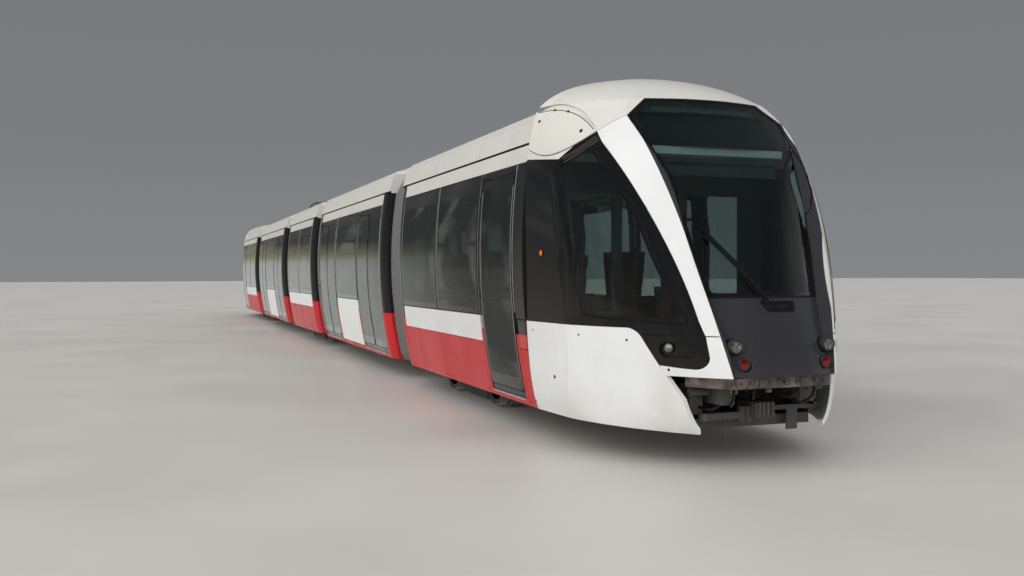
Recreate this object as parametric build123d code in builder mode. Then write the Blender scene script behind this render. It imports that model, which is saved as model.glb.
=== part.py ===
"""Five-module low-floor tram: two cab modules, two suspended modules, one short centre module.

Millimetres. +X runs to the front cab, +Y to the left side, +Z up. The origin is on the
track centre line, under the middle of the tram, at the level of the wheel flanges' lowest
points. The tram is the same at both ends, so the rear half is the front half mirrored.
"""
from build123d import *
from collections import namedtuple
from math import sqrt
import os

os.makedirs("parts", exist_ok=True)

# Wheels and rail
tread_diameter = 590
flange_depth = 25
tyre_width = 135
flange_width = 30
wheel_inner_face = 680
web_thickness = 34
hub_diameter = 210
hub_width = 150
journal_radius = 50
journal_end = 985
axle_diameter = 130
rail_top = flange_depth
axle_height = rail_top + tread_diameter / 2

# Module lengths along the tram
centre_half_length = 2000
inner_gap = 700
suspended_length = 5850
outer_gap = 800
cab_saloon_length = 4700

centre_end = centre_half_length
suspended_rear = centre_end + inner_gap
suspended_front = suspended_rear + suspended_length
cab_module_rear = suspended_front + outer_gap
cab_rear = cab_module_rear + cab_saloon_length
inner_pivot = centre_end + inner_gap / 2
outer_pivot = suspended_front + outer_gap / 2

# Heights above the floor the tram stands on
skirt_bottom = 275
floor_underside = 295
floor_top = 375
raised_floor_top = 515
plate_bottom = 810
corner_red_top = 940
belt = 1080
cantrail = 2515
roof_line = 2665
fairing_foot = 2690
fairing_top = 3000
ceiling = cantrail + 65
ceiling_half_width = 1090
roof_unit_top = 3115

# Roof equipment boxes and fairing ends
unit_half_width = 820
unit_chamfer = 60
louvre_pitch = 110
louvre_width = 45
louvre_length = 1100
louvre_depth = 14
fusing_depth = 5
fairing_end_rounding = 60

# The body side is one arc, widest at the waist
skirt_half_width = 1165
waist_half_width = 1325
roof_line_half_width = 1248
waist_height = 1470

# Wall layers, as insets from the body side
glass_thickness = 8
panel_thickness = 30
leaf_inner_face = 42
wall_thickness = 80
seat_gap = 0.3
pin_clearance = 0.05
panel_gap = 6
frame_overlap = 55
corner_length = 280
corner_set_in = 65
corner_bend = 126
corner_bend_set_in = 8
corner_thickness = 165
transom_depth = 50
beyond_side = 1500
seam = 5

Gap = namedtuple("Gap", "rear front")


def arc_circle(low, middle, high):
    """Centre and radius of the circle through three (half width, height) points"""
    (ay, az), (by, bz), (cy, cz) = low, middle, high
    twice_area = 2 * (ay * (bz - cz) + by * (cz - az) + cy * (az - bz))
    squares = [ay * ay + az * az, by * by + bz * bz, cy * cy + cz * cz]
    centre_y = (squares[0] * (bz - cz) + squares[1] * (cz - az) + squares[2] * (az - bz)) / twice_area
    centre_z = (squares[0] * (cy - by) + squares[1] * (ay - cy) + squares[2] * (by - ay)) / twice_area
    return centre_y, centre_z, sqrt((ay - centre_y) ** 2 + (az - centre_z) ** 2)


side_centre_y, side_centre_z, side_radius = arc_circle(
    (skirt_half_width, skirt_bottom), (waist_half_width, waist_height), (roof_line_half_width, roof_line)
)


def side_y(height, inset=0):
    """Half width of the body side at a height, drawn in by inset"""
    return side_centre_y + sqrt((side_radius - inset) ** 2 - (height - side_centre_z) ** 2)


def side_band(x, outer, inner, low, high):
    """Section of both body sides at x, between two insets and two heights"""
    middle = (low + high) / 2
    with BuildSketch(Plane.YZ.offset(x)) as band:
        with BuildLine():
            ThreePointArc(
                (side_y(low, outer), low), (side_y(middle, outer), middle), (side_y(high, outer), high)
            )
            Line((side_y(high, outer), high), (side_y(high, inner), high))
            ThreePointArc(
                (side_y(high, inner), high), (side_y(middle, inner), middle), (side_y(low, inner), low)
            )
            Line((side_y(low, inner), low), (side_y(low, outer), low))
        make_face()
        mirror(about=Plane.YZ)
    return band.sketch


def one_side_band(x, outer, inner, low, high):
    """Section of the left body side alone, for lofts"""
    middle = (low + high) / 2
    with BuildSketch(Plane.YZ.offset(x)) as band:
        with BuildLine():
            ThreePointArc(
                (side_y(low, outer), low), (side_y(middle, outer), middle), (side_y(high, outer), high)
            )
            Line((side_y(high, outer), high), (side_y(high, inner), high))
            ThreePointArc(
                (side_y(high, inner), high), (side_y(middle, inner), middle), (side_y(low, inner), low)
            )
            Line((side_y(low, inner), low), (side_y(low, outer), low))
        make_face()
    return band.sketch


def body_face(x, inset, low, high):
    """Whole body section at x, drawn in by inset, closed across top and bottom"""
    middle = (low + high) / 2
    with BuildSketch(Plane.YZ.offset(x)) as face:
        with BuildLine():
            Line((0, low), (side_y(low, inset), low))
            ThreePointArc(
                (side_y(low, inset), low), (side_y(middle, inset), middle), (side_y(high, inset), high)
            )
            Line((side_y(high, inset), high), (0, high))
            Line((0, high), (0, low))
        make_face()
        mirror(about=Plane.YZ)
    return face.sketch


def wall_section(x):
    """Section of both walls: set in behind the lower panels, further out behind the glass"""
    low, high = skirt_bottom, cantrail - seat_gap
    behind_panel = panel_thickness + seat_gap
    behind_glass = glass_thickness + seat_gap
    with BuildSketch(Plane.YZ.offset(x)) as section:
        with BuildLine():
            middle = (low + belt) / 2
            ThreePointArc(
                (side_y(low, behind_panel), low), (side_y(middle, behind_panel), middle),
                (side_y(belt, behind_panel), belt),
            )
            Line((side_y(belt, behind_panel), belt), (side_y(belt, behind_glass), belt + panel_gap))
            middle = (belt + high) / 2
            ThreePointArc(
                (side_y(belt, behind_glass), belt + panel_gap), (side_y(middle, behind_glass), middle),
                (side_y(high, behind_glass), high),
            )
            Line((side_y(high, behind_glass), high), (side_y(high, wall_thickness), high))
            middle = (low + high) / 2
            ThreePointArc(
                (side_y(high, wall_thickness), high), (side_y(middle, wall_thickness), middle),
                (side_y(low, wall_thickness), low),
            )
            Line((side_y(low, wall_thickness), low), (side_y(low, behind_panel), low))
        make_face()
        mirror(about=Plane.YZ)
    return section.sketch


def side_window(gap, low, high, radius):
    """Rounded rectangle in side view, from gap.rear to gap.front"""
    with BuildSketch(Plane.XZ) as window:
        with Locations(((gap.rear + gap.front) / 2, (low + high) / 2)):
            RectangleRounded(gap.front - gap.rear, high - low, radius)
    return window.sketch


def block(x, y, z, mode=Mode.ADD):
    """Box between the two values of each of x, y and z"""
    with Locations(((x[0] + x[1]) / 2, (y[0] + y[1]) / 2, (z[0] + z[1]) / 2)):
        Box(x[1] - x[0], y[1] - y[0], z[1] - z[0], mode=mode)


def hand_over(piece, name):
    """Label a finished piece and write its file"""
    piece.label = name
    export_step(piece, f"parts/{name}.step")


def hand_over_both_ends(piece, name):
    """Write the front piece and its mirror image at the rear"""
    hand_over(piece, f"{name}_front")
    hand_over(mirror(piece, about=Plane.YZ), f"{name}_rear")


# Openings in the body sides
door_low = 335
door_high = 2440
double_door_width = 1660
door_edge = 110
door_column = 70
sill_drop = 12
window_low = belt + 40
window_high = 2430
window_radius = 60
window_post = 60
door_post = 70
transom = Gap(2085, 2125)
single_door = Gap(12860, 13800)

# hoppers: windows with a transom under their top-hung vent; splits: seams of the lower panels
Module = namedtuple("Module", "rear front front_corner windows hoppers doors splits")
suspended_door_rear = suspended_rear + corner_length
suspended_door_front = suspended_front - corner_length
suspended_rear_door = Gap(suspended_door_rear, suspended_door_rear + double_door_width)
suspended_front_door = Gap(suspended_door_front - double_door_width, suspended_door_front)
suspended_window = Gap(suspended_rear_door.front + door_post, suspended_front_door.rear - door_post)
suspended = Module(
    suspended_rear, suspended_front, True,
    [suspended_window], [], [suspended_rear_door, suspended_front_door], [],
)
cab_rear_window = Gap(cab_module_rear + corner_length, 11230)
cab_front_window = Gap(cab_rear_window.front + window_post, 12780)
cab_module = Module(
    cab_module_rear, cab_rear, False,
    [cab_rear_window, cab_front_window], [cab_front_window], [single_door],
    [cab_rear_window.front + window_post / 2],
)
centre_windows = [
    Gap(-centre_end + corner_length, -window_post / 2), Gap(window_post / 2, centre_end - corner_length)
]
centre = Module(-centre_end, centre_end, True, centre_windows, centre_windows, [], [0])


def straight_span(module):
    """The module's straight side, between its rounded corners"""
    front = module.front - corner_length if module.front_corner else module.front
    return Gap(module.rear + corner_length, front)


def corner_post(end, inward, low, high):
    """Rounded corner of both sides at a module's end; inward is +1 or -1 along X"""
    stations = [(corner_length, 0), (corner_bend, corner_bend_set_in), (0, corner_set_in)]
    bands = [
        one_side_band(end + inward * back, inset, corner_thickness, low, high) for back, inset in stations
    ]
    with BuildPart() as post:
        loft(bands)
        mirror(about=Plane.XZ)
    return post.part


def corner_ends(module):
    """Each rounded end of a module with the direction that leads into it"""
    ends = [(module.rear, 1)]
    if module.front_corner:
        ends.append((module.front, -1))
    return ends


def side_walls(module):
    """Both walls: inner skin, carriers behind glass and panels, door portals, upper corner posts"""
    span = straight_span(module)
    with BuildPart() as walls:
        extrude(wall_section(span.rear), amount=span.front - span.rear)
        for door in module.doors:
            extrude(side_band(door.rear, -20, leaf_inner_face + seat_gap, door_low - 10, door_high + 10),
                    amount=door.front - door.rear, mode=Mode.SUBTRACT)
            opening = Gap(door.rear + door_edge / 2, door.front - door_edge / 2)
            extrude(side_window(opening, door_low + 40, door_high - 60, window_radius),
                    amount=beyond_side, both=True, mode=Mode.SUBTRACT)
        for window in module.windows:
            opening = Gap(window.rear + frame_overlap, window.front - frame_overlap)
            extrude(side_window(opening, window_low, window_high, window_radius),
                    amount=beyond_side, both=True, mode=Mode.SUBTRACT)
        for window in module.hoppers:
            extrude(side_band(window.rear, glass_thickness + seat_gap, transom_depth, *transom),
                    amount=window.front - window.rear)
        for end, inward in corner_ends(module):
            add(corner_post(end, inward, corner_red_top + panel_gap, roof_line - seat_gap))
    return walls.part


def window_panes(module):
    """Bonded panes over the window frames and the door leaves"""
    with BuildPart() as panes:
        for window in module.windows:
            pane = Gap(window.rear + panel_gap / 2, window.front - panel_gap / 2)
            extrude(side_band(pane.rear, 0, glass_thickness, belt + panel_gap, cantrail - panel_gap),
                    amount=pane.front - pane.rear)
        for door in module.doors:
            for leaf in door_leaves(door):
                extrude(side_band(leaf.rear + 18, 0, glass_thickness, door_low + 60, door_high - 20),
                        amount=leaf.front - leaf.rear - 36)
    return panes.part


def door_leaves(door):
    """One leaf for a narrow doorway, two for a wide one"""
    edge = panel_gap / 2
    if door.front - door.rear < 1200:
        return [Gap(door.rear + edge, door.front - edge)]
    middle = (door.rear + door.front) / 2
    return [Gap(door.rear + edge, middle - edge), Gap(middle + edge, door.front - edge)]


def door_set(module):
    """Door leaves: frames that carry the bonded panes, closed against the portals"""
    with BuildPart() as doors:
        for door in module.doors:
            for leaf in door_leaves(door):
                frame = side_band(leaf.rear, glass_thickness + seat_gap, leaf_inner_face, door_low, door_high)
                extrude(frame, amount=leaf.front - leaf.rear)
                light = Gap(leaf.rear + 75, leaf.front - 75)
                extrude(side_window(light, door_low + 120, door_high - 90, window_radius),
                        amount=beyond_side, both=True, mode=Mode.SUBTRACT)
    return doors.part


def panel_bays(module):
    """Stretches of the lower side between doors and corners, less the columns beside the doors"""
    span = straight_span(module)
    edges = [span.rear] + [x for door in module.doors for x in door] + [span.front]
    bays = []
    for rear, front in zip(edges[0::2], edges[1::2]):
        beside_rear_door = rear != span.rear
        beside_front_door = front != span.front
        if front - rear > 3 * door_column:
            bays.append(Gap(rear + door_column * beside_rear_door, front - door_column * beside_front_door))
    return bays


def side_plates(bay, low, high):
    """A panel in one bay of both sides, short of its neighbours by the panel gap"""
    extrude(side_band(bay.rear + panel_gap / 2, 0, panel_thickness, low, high),
            amount=bay.front - bay.rear - panel_gap)


def lower_panels(module, top):
    """Lower side panels in the bays, columns beside the doors, sills under them, lower corner posts"""
    span = straight_span(module)
    with BuildPart() as panels:
        for bay in panel_bays(module):
            stops = [bay.rear] + [x for x in module.splits if bay.rear < x < bay.front] + [bay.front]
            for rear, front in zip(stops, stops[1:]):
                side_plates(Gap(rear, front), skirt_bottom, top)
        for door in module.doors:
            side_plates(Gap(door.rear - panel_gap / 2, door.front + panel_gap / 2), skirt_bottom,
                        door_low - sill_drop)
            if door.rear > span.rear:
                side_plates(Gap(door.rear - door_column, door.rear), skirt_bottom, corner_red_top)
            if door.front < span.front:
                column_front = min(door.front + door_column, span.front)
                if span.front - door.front < 3 * door_column:
                    column_front = span.front
                side_plates(Gap(door.front, column_front), skirt_bottom, corner_red_top)
        for end, inward in corner_ends(module):
            add(corner_post(end, inward, skirt_bottom, corner_red_top))
    return panels.part


def upper_plates(module, low):
    """White plates under the windows, above the lower panels"""
    with BuildPart() as plates:
        for bay in panel_bays(module):
            side_plates(bay, low + panel_gap, belt)
    return plates.part


def roof_section(x):
    """Roof section: cantrail, black line groove, side fairings and the slab between them"""
    cantrail_out = side_y(cantrail)
    line_out = side_y(roof_line)
    fairing_inner = 960
    with BuildSketch(Plane.YZ.offset(x)) as section:
        with BuildLine():
            Polyline(
                (0, ceiling), (ceiling_half_width, ceiling), (ceiling_half_width + 30, cantrail),
                (cantrail_out, cantrail),
                (line_out, roof_line), (line_out - 40, roof_line), (line_out - 40, fairing_foot),
                (line_out - 6, fairing_foot), (1175, 2890), (1120, 2972), (1040, fairing_top),
                (fairing_inner, fairing_top), (fairing_inner, roof_line), (0, roof_line), (0, ceiling),
            )
        make_face()
        mirror(about=Plane.YZ)
    return section.sketch


def equipment_box(unit):
    """Roof equipment box with chamfered top edges and a row of louvres across its lid"""
    length = unit.front - unit.rear
    middle = (unit.rear + unit.front) / 2
    foot = roof_line - fusing_depth
    louvre_count = int((length - 2 * unit_chamfer) / louvre_pitch)
    with BuildPart() as box:
        with Locations((middle, 0, (foot + roof_unit_top) / 2)):
            Box(length, 2 * unit_half_width, roof_unit_top - foot)
        chamfer(box.edges().group_by(Axis.Z)[-1], unit_chamfer)
        with Locations((middle, 0, roof_unit_top - louvre_depth / 2)):
            with GridLocations(louvre_pitch, 0, louvre_count, 1):
                Box(louvre_width, louvre_length, louvre_depth, mode=Mode.SUBTRACT)
    return box.part


def roof(module, units):
    """Roof shell with its fairings, let out over the black corner posts, and the equipment boxes"""
    post_inner = side_y(roof_line, corner_thickness + seat_gap)
    with BuildPart() as top:
        extrude(roof_section(module.rear), amount=module.front - module.rear)
        for end, inward in corner_ends(module):
            chamfer(top.edges().filter_by(Axis.Y).group_by(Axis.Z)[-1].filter_by_position(
                Axis.X, end - 1, end + 1), fairing_end_rounding)
            over_post = sorted((end - inward, end + inward * (corner_length + seat_gap)))
            for side in (-1, 1):
                block(over_post, sorted((side * post_inner, side * beyond_side)), (cantrail - 1, roof_line),
                      mode=Mode.SUBTRACT)
        for unit in units:
            add(equipment_box(unit))
    return top.part


def floor_slab(module, profile):
    """Floor slab, from its side-view profile, let in between the corner posts"""
    half_width = side_y(floor_underside, wall_thickness + seat_gap)
    between_posts = side_y(floor_underside, corner_thickness + seat_gap)
    with BuildPart() as floor:
        with BuildSketch(Plane.XZ):
            with BuildLine():
                Polyline(*profile, profile[0])
            make_face()
        extrude(amount=half_width, both=True)
        for end, inward in corner_ends(module):
            for side in (-1, 1):
                block(sorted((end - inward, end + inward * (corner_length + 1))),
                      sorted((side * between_posts, side * (half_width + 1))), (0, belt), mode=Mode.SUBTRACT)
    return floor.part


# Bogies: axles, wheels and frames
wheelbase = 1600
cab_bogie_x = 11100
centre_bogie_x = 0
side_beam_y = (880, 990)
side_beam_z = (250, 400)
side_beam_length = 2100
axle_box_length = 260
cross_beam_x = 260
cross_beam_z = (230, 380)
spring_x = 330
spring_radius = 50
motor_x = 530
motor_radius = 120
motor_z = cross_beam_z[1] - motor_radius + 35
motor_half_length = 450
gear_case_y = (440, 560)
gear_case_z = (205, 428)
axle_running_gap = 12
brake_half_length = 420
brake_y = (690, 790)
brake_z = (45, 140)
hanger_width = 60


def wheelset(x):
    """Axle with two flanged wheels"""
    tread = tread_diameter / 2
    flange = tread + flange_depth
    with BuildPart() as wheels:
        with BuildSketch(Plane.YZ.offset(x)) as half:
            with BuildLine():
                face = wheel_inner_face
                Polyline(
                    (0, 0), (journal_end, 0), (journal_end, journal_radius),
                    (face + hub_width, journal_radius), (face + hub_width, hub_diameter / 2),
                    (face + 90, hub_diameter / 2), (face + 90, tread - 75), (face + tyre_width, tread - 60),
                    (face + tyre_width, tread - 4), (face + flange_width, tread), (face + 22, flange),
                    (face + 8, flange), (face, flange - 14), (face, tread - 60),
                    (face + 90 - web_thickness, tread - 75), (face + 90 - web_thickness, hub_diameter / 2),
                    (face, hub_diameter / 2), (face, axle_diameter / 2), (0, axle_diameter / 2), (0, 0),
                )
            make_face()
            mirror(about=Plane.YZ)
        revolve(axis=Axis((x, 0, 0), (0, 1, 0)))
    return wheels.part.moved(Location((0, 0, axle_height)))


def bogie_frame(bogie_x):
    """Welded frame with its axle boxes and spring posts, motors, gear cases and track brakes"""
    low, high = side_beam_z
    spring_top = raised_floor_top - (floor_top - floor_underside) - seat_gap
    with BuildPart() as frame:
        for side in (-1, 1):
            y = sorted(side * value for value in side_beam_y)
            block((bogie_x - side_beam_length / 2, bogie_x + side_beam_length / 2), y, side_beam_z)
            for axle in (-wheelbase / 2, wheelbase / 2):
                x = bogie_x + axle
                block((x - axle_box_length / 2, x + axle_box_length / 2), y, (low - 40, high + 15))
            for spring in (-spring_x, spring_x):
                with Locations((bogie_x + spring, sum(y) / 2, (high + spring_top) / 2)):
                    Cylinder(spring_radius, spring_top - high)
                with Locations((bogie_x + spring, sum(y) / 2, high + 10)):
                    Cylinder(1.4 * spring_radius, 20)
            brake = sorted(side * value for value in brake_y)
            block((bogie_x - brake_half_length, bogie_x + brake_half_length), brake, brake_z)
        for beam in (-cross_beam_x, cross_beam_x):
            x = bogie_x + beam
            block((x - 70, x + 70), (-side_beam_y[0], side_beam_y[0]), cross_beam_z)
            for side in (-1, 1):
                middle = side * sum(brake_y) / 2
                block((x - hanger_width / 2, x + hanger_width / 2),
                      (middle - hanger_width / 2, middle + hanger_width / 2), (brake_z[1], cross_beam_z[0]))
        for end in (-1, 1):
            axle_x = bogie_x + end * wheelbase / 2
            with Locations(Location((bogie_x + end * motor_x, 0, motor_z), (90, 0, 0))):
                Cylinder(motor_radius, 2 * motor_half_length)
            block(sorted((bogie_x + end * (cross_beam_x + 60), bogie_x + end * motor_x)),
                  (-motor_half_length / 2, motor_half_length / 2), cross_beam_z)
            case_y = sorted(-end * value for value in gear_case_y)
            block(sorted((bogie_x + end * (motor_x - 60), axle_x + end * (axle_diameter / 2 + 45))),
                  case_y, gear_case_z)
            with Locations(Location((axle_x, 0, axle_height), (90, 0, 0))):
                Cylinder(axle_diameter / 2 + axle_running_gap, 2 * wheel_inner_face, mode=Mode.SUBTRACT)
                Cylinder(journal_radius + pin_clearance, 2 * side_beam_y[1] + 100, mode=Mode.SUBTRACT)
    return frame.part


# The cab's form: one plan outline for each level, from the door post round to the nose
# level height, side knee x and half width, bulge x and half width, mask edge x and half width, nose x,
# and how far the windscreen's edge lies behind and inside the mask edge
CabLevel = namedtuple(
    "CabLevel", "height knee_x knee_y bulge_x bulge_y mask_x mask_y nose_x behind inside"
)
cab_levels = [
    CabLevel(275, 14700, 1120, 15450, 830, 15830, 560, 15930, 6, 10),
    CabLevel(730, 14800, 1200, 15560, 875, 16117, 453, 16200, 10, 16),
    CabLevel(1315, 14750, 1230, 15460, 950, 15924, 565, 16030, 94, 65),
    CabLevel(1925, 14580, 1238, 15230, 1012, 15690, 641, 15795, 88, 60),
    CabLevel(2525, 14300, 1222, 14910, 1020, 15316, 719, 15420, 50, 35),
    CabLevel(2810, 14150, 1190, 14650, 1020, 15019, 763, 15140, 14, 20),
    CabLevel(2980, 14150, 1110, 14540, 955, 14900, 640, 15010, 6, 12),
]
dome_levels = [
    cab_levels[-1],
    CabLevel(3110, 14150, 960, 14440, 800, 14690, 500, 14790, 0, 0),
    CabLevel(3230, 14140, 680, 14310, 540, 14440, 320, 14490, 0, 0),
    CabLevel(3300, 14110, 330, 14170, 260, 14215, 150, 14235, 0, 0),
]


def cab_outline(level, inset, rear, sunk):
    """Plan outline of the cab at one level, drawn in by inset; sunk has the mask's middle set back"""
    rear_y = min(side_y(min(level.height, fairing_top - 20)), level.knee_y + 60) - inset
    knee = (level.knee_x, level.knee_y - inset)
    bulge = (level.bulge_x - inset * 0.5, level.bulge_y - inset * 0.85)
    mask = (level.mask_x - inset * 0.8, level.mask_y - inset * 0.6)
    left_side = [(rear, rear_y), knee, bulge, mask]
    right_side = [(x, -y) for x, y in reversed(left_side)]
    with BuildSketch(Plane.XY.offset(level.height)) as outline:
        with BuildLine():
            Line(*left_side[:2])
            ThreePointArc(*left_side[1:])
            if sunk:
                edge = (mask[0] - level.behind, mask[1] - level.inside)
                Line(mask, edge)
                ThreePointArc(edge, (level.nose_x - inset - level.behind, 0), (edge[0], -edge[1]))
                Line((edge[0], -edge[1]), right_side[0])
            else:
                ThreePointArc(mask, (level.nose_x - inset, 0), right_side[0])
            ThreePointArc(*right_side[:3])
            Line(*right_side[2:])
            Line(right_side[3], left_side[0])
        make_face()
    return outline.sketch


def cab_form(levels, inset, rear, sunk=False):
    """Solid of the cab between its lowest and highest levels, drawn in by inset"""
    with BuildPart() as form:
        loft([cab_outline(level, inset, rear, sunk) for level in levels])
    return form.part


def side_outline(*points, rounded=()):
    """Polygon in side view, through both sides of the cab; rounded lists corners with their radii"""
    with BuildPart() as prism:
        with BuildSketch(Plane.XZ) as outline:
            with BuildLine():
                Polyline(*points, points[0])
            make_face()
            for corner, radius in rounded:
                fillet(outline.vertices().sort_by_distance(Vector(*corner))[0], radius)
        extrude(amount=beyond_side, both=True)
    return prism.part


# The forms that the cab's panels are cut from
cab_wall = 60
nose_wall = 40
lamp_recess = 25
channel_depth = 18
lens_set_back = 6
behind_bulkhead = cab_rear - 200
cab_solid = cab_form(cab_levels, 0, cab_rear + panel_gap)
cab_inside = cab_form(cab_levels, cab_wall, behind_bulkhead)
recess_floor = cab_form(cab_levels, lamp_recess, behind_bulkhead)
side_glass_back = cab_form(cab_levels, glass_thickness, behind_bulkhead)
mask_solid = cab_form(cab_levels, 0, cab_rear + panel_gap, sunk=True)
mask_glass_back = cab_form(cab_levels, glass_thickness, behind_bulkhead, sunk=True)
mask_inside = cab_form(cab_levels, nose_wall, behind_bulkhead, sunk=True)
mask_lens_face = cab_form(cab_levels, lens_set_back, behind_bulkhead, sunk=True)

# Front view outlines, as (half width, height): the mask, and the windscreen within it
windscreen_bottom = 1315
mask_bottom = 730
mask_top = 2980
mask_half = [(453, mask_bottom), (612, 1650), (763, 2810), (550, mask_top)]
windscreen_half = [(388, mask_bottom), (550, 1650), (741, 2810), (538, mask_top)]


def mask_prism(outline, margin, low, high):
    """A front-view outline between two heights, drawn in by margin, as a prism along the tram"""
    (y0, z0), (y1, z1), (y2, z2), (y3, z3) = outline
    below = (y0 - 60 - margin, z0 - 200)
    with BuildPart() as prism:
        with BuildSketch(Plane.YZ.offset(14500)):
            with BuildLine():
                Line((0, below[1]), below)
                Line(below, (y0 - margin, z0))
                ThreePointArc((y0 - margin, z0), (y1 - margin, z1), (y2 - margin, z2))
                Line((y2 - margin, z2), (y3 - margin, z3 - margin))
                Line((y3 - margin, z3 - margin), (0, z3 - margin))
                Line((0, z3 - margin), (0, below[1]))
            make_face()
            mirror(about=Plane.YZ)
        extrude(amount=2000)
        block((14400, 16600), (-beyond_side, beyond_side), (low, high), mode=Mode.INTERSECT)
    return prism.part


# Side-view lines of the cab, as (x, height)
cab_post = cab_rear + panel_gap
skirt_shoulder = (15496, belt)
skirt_shoulder_radius = 150
skirt_notch = (15660, 798)
skirt_edge = (15801, 549)
skirt_tip = (15842, skirt_bottom)
skirt_inner_end = 560
pillar_top = (14876, 2688)
mask_corner = (15019, 2810)
pillar_outer = [pillar_top, (15466, 2023), (15843, 1291), (15954, 1022)]
hook_corner = (16004, 775)
hook_corner_radius = 85
hook_inner = [hook_corner, (15820, 783), (15668, 798)]
hook_bottom = 722
ear_low = (14553, 2483)
ear_rear = (cab_post, 2530)
far_ahead = 16500
far_above = 3500
above_mask = (15300, 3050)
side_glass = [(14530, 2430), (14900, 2560), (15400, 2023), (15770, 1291), (15850, 1115), (15020, 1165)]


def shifted(point, along, up):
    """A side-view point moved along the tram and up, to leave a gap beside its neighbour"""
    return (point[0] + along, point[1] + up)


seam_shift = seam / sqrt(2)
roof_cut = side_outline(
    ear_rear, ear_low, shifted(pillar_top, -seam_shift, seam_shift),
    shifted(mask_corner, -seam_shift, seam_shift), above_mask,
    (above_mask[0], far_above), (cab_post, far_above),
)
pillar_cut = side_outline(
    *pillar_outer, *hook_inner, (15700, hook_bottom), (far_ahead, hook_bottom), (far_ahead, above_mask[1]),
    above_mask, mask_corner, rounded=[(hook_corner, hook_corner_radius)],
)
skirt_cut = side_outline(
    (cab_post, skirt_bottom - 10), (cab_post, belt), skirt_shoulder, skirt_notch, skirt_edge,
    skirt_tip, (skirt_tip[0], skirt_bottom - 10), rounded=[(skirt_shoulder, skirt_shoulder_radius)],
)
surround_shoulder = shifted(skirt_shoulder, seat_gap, seat_gap)
surround_cut = side_outline(
    (cab_post, belt + seat_gap), surround_shoulder, shifted(skirt_notch, seat_gap, seat_gap),
    *reversed(hook_inner), *reversed(pillar_outer), ear_low, ear_rear,
    rounded=[(surround_shoulder, skirt_shoulder_radius), (hook_corner, hook_corner_radius)],
)
side_glass_cut = side_outline(*side_glass)

# Cab panels
with BuildPart() as cab_pillars:
    add(cab_solid)
    add(cab_inside, mode=Mode.SUBTRACT)
    add(pillar_cut, mode=Mode.INTERSECT)
    add(mask_prism(mask_half, 0, mask_bottom - 20, 3200), mode=Mode.SUBTRACT)
with BuildPart() as cab_skirts:
    add(cab_solid)
    add(cab_form(cab_levels, panel_thickness, behind_bulkhead), mode=Mode.SUBTRACT)
    add(skirt_cut, mode=Mode.INTERSECT)
    block((skirt_edge[0] - 200, skirt_tip[0] + 1), (-skirt_inner_end, skirt_inner_end),
          (skirt_bottom - 10, belt), mode=Mode.SUBTRACT)
with BuildPart() as cab_whites:
    add(cab_pillars.part)
    add(cab_skirts.part)
    add(upper_plates(cab_module, plate_bottom))
hand_over_both_ends(cab_whites.part, "cab_white_panels")

# Lamps: the nose's look forward, the side's look outward from recesses in the surround
NoseLamp = namedtuple("NoseLamp", "x y z radius")
nose_lamps = [NoseLamp(16101, 412, 958, 48), NoseLamp(16130, 364, 825, 40)]
SideLamp = namedtuple("SideLamp", "x z radius")
corner_lamp = SideLamp(15713, 935, 34)
marker = SideLamp(14385, 1682, 26)
recess_centre = (15782, 922)
recess_length = 240
recess_height = 118
marker_stand = 14


def lens_posts(lamp):
    """Round bar across the tram that a side lamp's lenses are cut from"""
    with BuildPart() as posts:
        with Locations(Location((lamp.x, 0, lamp.z), (90, 0, 0))):
            Cylinder(lamp.radius, 2 * beyond_side)
    return posts.part


with BuildPart() as lamp_recesses:
    with BuildSketch(Plane.XZ):
        with Locations(recess_centre):
            SlotOverall(recess_length, recess_height)
    extrude(amount=beyond_side, both=True)
    add(recess_floor, mode=Mode.SUBTRACT)
with BuildPart() as cab_surround:
    add(cab_solid)
    add(cab_inside, mode=Mode.SUBTRACT)
    add(surround_cut, mode=Mode.INTERSECT)
    add(side_glass_cut, mode=Mode.SUBTRACT)
    add(lamp_recesses.part, mode=Mode.SUBTRACT)
hand_over_both_ends(cab_surround.part, "cab_side_surround")

with BuildPart() as corner_lenses:
    add(lens_posts(corner_lamp))
    add(side_glass_back, mode=Mode.INTERSECT)
    add(cab_form(cab_levels, lamp_recess - seat_gap, behind_bulkhead), mode=Mode.SUBTRACT)
with BuildPart() as markers:
    add(lens_posts(marker))
    add(cab_form(cab_levels, -marker_stand, cab_rear + panel_gap), mode=Mode.INTERSECT)
    add(cab_form(cab_levels, -seat_gap, cab_rear + panel_gap), mode=Mode.SUBTRACT)
with BuildPart() as nose_lenses:
    for lamp in nose_lamps:
        for side in (-1, 1):
            with Locations(Location((lamp.x, side * lamp.y, lamp.z), (0, 90, 0))):
                Cylinder(lamp.radius, 160)
    add(mask_lens_face, mode=Mode.INTERSECT)
with BuildPart() as cab_lamps:
    add(nose_lenses.part)
    add(corner_lenses.part)
    add(markers.part)
hand_over_both_ends(cab_lamps.part, "cab_lamps")

# Nose panel: it runs on up both sides of the windscreen to the roof
with BuildPart() as cab_nose:
    add(mask_solid)
    add(mask_inside, mode=Mode.SUBTRACT)
    add(mask_prism(mask_half, seat_gap, mask_bottom, mask_top - 1), mode=Mode.INTERSECT)
    add(mask_prism(windscreen_half, -seat_gap, windscreen_bottom - seat_gap, mask_top), mode=Mode.SUBTRACT)
    for lamp in nose_lamps:
        for side in (-1, 1):
            with Locations(Location((lamp.x, side * lamp.y, lamp.z), (0, 90, 0))):
                Cylinder(lamp.radius + seat_gap, 300, mode=Mode.SUBTRACT)
hand_over_both_ends(cab_nose.part, "cab_nose")

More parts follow.
